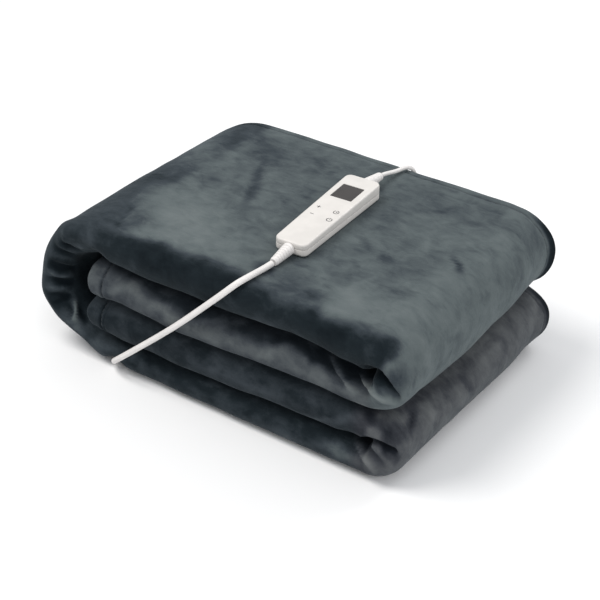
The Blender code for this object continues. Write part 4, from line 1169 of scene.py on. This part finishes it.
def make_controller():
    rim = 0.0030
    base_levels = [(rim + 0.004, lambda y: 0.0)]
    for k in range(0, 7):
        a = math.radians(90 * k / 6)
        base_levels.append((rim * (1 - math.sin(a)), lambda y, a=a: rim * (1 - math.cos(a))))
    base_levels += [(0.0, lambda y: CTRL_SPLIT - 0.0003), (0.00006, lambda y: CTRL_SPLIT - 0.0001), (0.0002, lambda y: CTRL_SPLIT)]
    base = loft("controller_lower_shell", base_levels, True)
    rim_top = 0.0021
    cover_levels = [(0.0002, lambda y: CTRL_SPLIT + FIT), (0.00006, lambda y: CTRL_SPLIT + FIT + 0.0001), (0.0, lambda y: CTRL_SPLIT + FIT + 0.0003), (0.0, lambda y: CTRL_SPLIT + 0.0022)]
    for k in range(0, 7):
        a = math.radians(90 * k / 6)
        cover_levels.append((rim_top * (1 - math.cos(a)), lambda y, a=a: top_height(y) - rim_top * (1 - math.sin(a))))
    cover_levels.append((rim_top + 0.0012, lambda y: top_height(y) + 0.00004))
    hole = rounded(WINDOW_W + 2 * FIT, WINDOW_L + 2 * FIT, 0.0007, 4, WINDOW_Y)
    cover = loft("controller_upper_shell", cover_levels, True, hole)
    for obj, node in ((base, "controller_base"), (cover, "controller_cover")):
        collect(obj)
        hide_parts(node)

    # the display: a dark pane with softened edges, almost flush
    bm = bmesh.new()
    rings = []
    for inset, down in ((0.0, 0.0013), (0.0, 0.00035), (0.00012, 0.00018), (0.0004, 0.0001)):
        rings.append([bm.verts.new((x, y, top_height(y) - down)) for x, y in rounded(WINDOW_W - 2 * inset, WINDOW_L - 2 * inset, 0.0006, 4, WINDOW_Y)])
    n = len(rings[0])
    for one, two in zip(rings, rings[1:]):
        for k in range(n):
            bm.faces.new((one[k], one[(k + 1) % n], two[(k + 1) % n], two[k]))
    bm.faces.new(rings[0][::-1])
    bm.faces.new(rings[-1])
    bmesh.ops.recalc_face_normals(bm, faces=bm.faces)
    mesh = bpy.data.meshes.new("display_pane")
    bm.to_mesh(mesh)
    bm.free()
    pane = new_object("display_pane", mesh, DISPLAY)
    pane.matrix_world = ctrl_matrix()
    collect(pane)
    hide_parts("display_window")

    # printed marks: thin shapes that stand a hair above the housing
    bm = bmesh.new()
    lift, thick = 0.00003, 0.00010

    def bar(cx, cy, length, width, turn):
        c, s = math.cos(turn), math.sin(turn)
        ring = []
        for sx, sy in ((1, 1), (-1, 1), (-1, -1), (1, -1)):
            lx, ly = sx * length / 2, sy * width / 2
            ring.append((cx + lx * c - ly * s, cy + lx * s + ly * c))
        plate(ring)

    def plate(ring):
        low = [bm.verts.new((x, y, top_height(y) + lift)) for x, y in ring]
        high = [bm.verts.new((x, y, top_height(y) + lift + thick)) for x, y in ring]
        m = len(ring)
        bm.faces.new(high)
        bm.faces.new(low[::-1])
        for k in range(m):
            bm.faces.new((low[k], low[(k + 1) % m], high[(k + 1) % m], high[k]))

    def arc(cx, cy, r, width, start, sweep, steps=28):
        low, high = [], []
        for k in range(steps + 1):
            a = math.radians(start + sweep * k / steps)
            low.append((cx + (r - width / 2) * math.cos(a), cy + (r - width / 2) * math.sin(a)))
            high.append((cx + (r + width / 2) * math.cos(a), cy + (r + width / 2) * math.sin(a)))
        for k in range(steps):
            plate([low[k], high[k], high[k + 1], low[k + 1]])

    thin = 0.00070
    plus, minus, clock, power = (-0.0094, -0.0014), (-0.0085, -0.0153), (0.0098, -0.0022), (0.0111, -0.0168)
    bar(*plus, 0.0042, thin, 0.0)
    bar(*plus, 0.0042, thin, math.pi / 2)
    bar(*minus, 0.0038, thin, 0.0)
    arc(*clock, 0.0026, thin, 120, 330)
    bar(clock[0] + 0.0006, clock[1], 0.0018, thin * 0.8, 0.0)
    bar(clock[0], clock[1] + 0.0008, 0.0018, thin * 0.8, math.pi / 2)
    arc(*power, 0.0026, thin, 118, 304)
    bar(power[0], power[1] + 0.0018, 0.0026, thin, math.pi / 2)
    bmesh.ops.recalc_face_normals(bm, faces=bm.faces)
    mesh = bpy.data.meshes.new("controller_marks")
    bm.to_mesh(mesh)
    bm.free()
    marks = new_object("controller_marks", mesh, PRINT)
    marks.matrix_world = ctrl_matrix()
    collect(marks)


make_controller()


# ---------------------------------------------------------------- reliefs, plug, joiner, tie
def turned(name, profile, at, towards, mat, sides=40, bend=None):
    """A profile of (radius, height), from its root up, turned about the given line. It may bend with height."""
    axis = Vector(towards).normalized()
    spin = axis.to_track_quat("Z", "Y").to_matrix()
    bm = bmesh.new()
    rings = []
    for r, h in profile:
        shift = Vector(bend(h)) if bend else Vector((0, 0, 0))
        ring = []
        for k in range(sides):
            a = 2 * math.pi * k / sides
            ring.append(bm.verts.new(Vector(at) + spin @ Vector((r * math.cos(a), r * math.sin(a), h)) + shift))
        rings.append(ring)
    for one, two in zip(rings, rings[1:]):
        for k in range(sides):
            bm.faces.new((one[k], one[(k + 1) % sides], two[(k + 1) % sides], two[k]))
    bm.faces.new(rings[0][::-1])
    bm.faces.new(rings[-1])
    bmesh.ops.recalc_face_normals(bm, faces=bm.faces)
    mesh = bpy.data.meshes.new(name)
    bm.to_mesh(mesh)
    bm.free()
    mesh.shade_smooth()
    mesh.set_sharp_from_angle(angle=math.radians(50))
    obj = new_object(name, mesh, mat)
    return collect(obj)


def relief_profile(length, ribs=6):
    made = [(RELIEF_ROOT_R * 0.97, 0.0), (RELIEF_ROOT_R, 0.0004), (RELIEF_ROOT_R, length * 0.10), (RELIEF_ROOT_R * 0.985, length * 0.125)]
    for k in range(ribs):
        low = 0.14 + 0.80 * k / ribs
        step = 0.80 / ribs
        r = lambda at: RELIEF_ROOT_R + (RELIEF_TIP_R - RELIEF_ROOT_R) * at
        made += [
            (r(low) - 0.00055, length * low), (r(low) - 0.00060, length * (low + step * 0.22)), (r(low) - 0.00015, length * (low + step * 0.32)),
            (r(low), length * (low + step * 0.42)), (r(low), length * (low + step * 0.82)), (r(low) - 0.00015, length * (low + step * 0.92)),
        ]
    made += [(RELIEF_TIP_R - 0.0002, length * 0.95), (RELIEF_TIP_R - 0.0001, length * 0.985), (RELIEF_TIP_R - 0.0004, length)]
    return made


spin = Matrix.Rotation(CTRL_TURN, 3, "Z")
ctrl_at = lambda x, y, z: ctrl_matrix() @ Vector((x, y, z))
relief_front = turned("relief_front_ribbed", relief_profile(RELIEF_LENGTH), ctrl_at(0, -CTRL_LENGTH / 2 - 0.0002, 0.0062), spin @ Vector((-0.025, -1.0, -0.094)), SOFT_WHITE)
relief_back = turned("relief_back_ribbed", relief_profile(RELIEF_LENGTH), ctrl_at(0, CTRL_LENGTH / 2 + 0.0002, 0.0090), spin @ Vector((0.105, 1.0, -0.031)), SOFT_WHITE)
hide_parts("relief_front")
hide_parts("relief_back")
plug_relief = turned("plug_relief_ribbed", relief_profile(RELIEF_LENGTH), (PLUG_X, PLUG_BACK_Y + 0.0001, PLUG_Z), (0, 1, 0), SOFT_WHITE)
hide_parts("plug_relief")
joiner_relief = turned("joiner_relief_ribbed", relief_profile(RELIEF_LENGTH * 0.85), (JOINER_X, JOINER_Y0 + JOINER_L + 0.0001, JOINER_Z), (0, 1, 0), SOFT_WHITE)
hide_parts("joiner_relief")


def moulded(name, size, at, narrow, mat, power=4.0, grip=0):
    """A soft-edged moulded body: superellipse sections along Y, narrowed towards +Y, with a few grip ridges if wanted."""
    width, length, thick = size
    bm = bmesh.new()
    rings, sides, steps = [], 48, 36
    for i in range(steps + 1):
        t = i / steps
        end = min(t, 1 - t) * length
        round_off = 1 - 0.16 * (1 - min(1.0, end / 0.0030)) ** 2.2 * 1.6
        wide = width / 2 * (1 + (narrow - 1) * (t * t * (3 - 2 * t))) * round_off
        tall = thick / 2 * round_off
        if grip and 0.30 < t < 0.86:
            wave = 0.5 - 0.5 * math.cos(2 * math.pi * grip * (t - 0.30) / 0.56)
            wide -= 0.0007 * wave
        ring = []
        for k in range(sides):
            a = 2 * math.pi * k / sides
            c, s = math.cos(a), math.sin(a)
            x = math.copysign(abs(c) ** (2 / power), c) * wide
            z = math.copysign(abs(s) ** (2 / power), s) * tall
            ring.append(bm.verts.new((at[0] + x, at[1] - length / 2 + length * t, at[2] + z)))
        rings.append(ring)
    for one, two in zip(rings, rings[1:]):
        for k in range(sides):
            bm.faces.new((one[k], one[(k + 1) % sides], two[(k + 1) % sides], two[k]))
    bm.faces.new(rings[0][::-1])
    bm.faces.new(rings[-1])
    bmesh.ops.recalc_face_normals(bm, faces=bm.faces)
    mesh = bpy.data.meshes.new(name)
    bm.to_mesh(mesh)
    bm.free()
    mesh.shade_smooth()
    mesh.set_sharp_from_angle(angle=math.radians(45))
    return collect(new_object(name, mesh, mat))


plug = moulded("plug_moulding", (PLUG_W, PLUG_L, PLUG_T), (PLUG_X, PLUG_BACK_Y - PLUG_L / 2, PLUG_Z), 0.62, SOFT_WHITE, 4.5, 5)
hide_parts("plug_body")
joiner = moulded("joiner_moulding", (JOINER_W, JOINER_L, JOINER_T), (JOINER_X, JOINER_Y0 + JOINER_L / 2, JOINER_Z), 0.78, HOUSING, 5.0)
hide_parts("blanket_joiner")
for name, sign in (("plug_pin_left", -1), ("plug_pin_right", 1)):
    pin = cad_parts[name]
    pin.data.materials.clear()
    pin.data.materials.append(METAL)
    pin.data.shade_smooth()
    pin.data.set_sharp_from_angle(angle=math.radians(40))
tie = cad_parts["coil_tie"]
tie.data.materials.clear()
tie.data.materials.append(BAND)
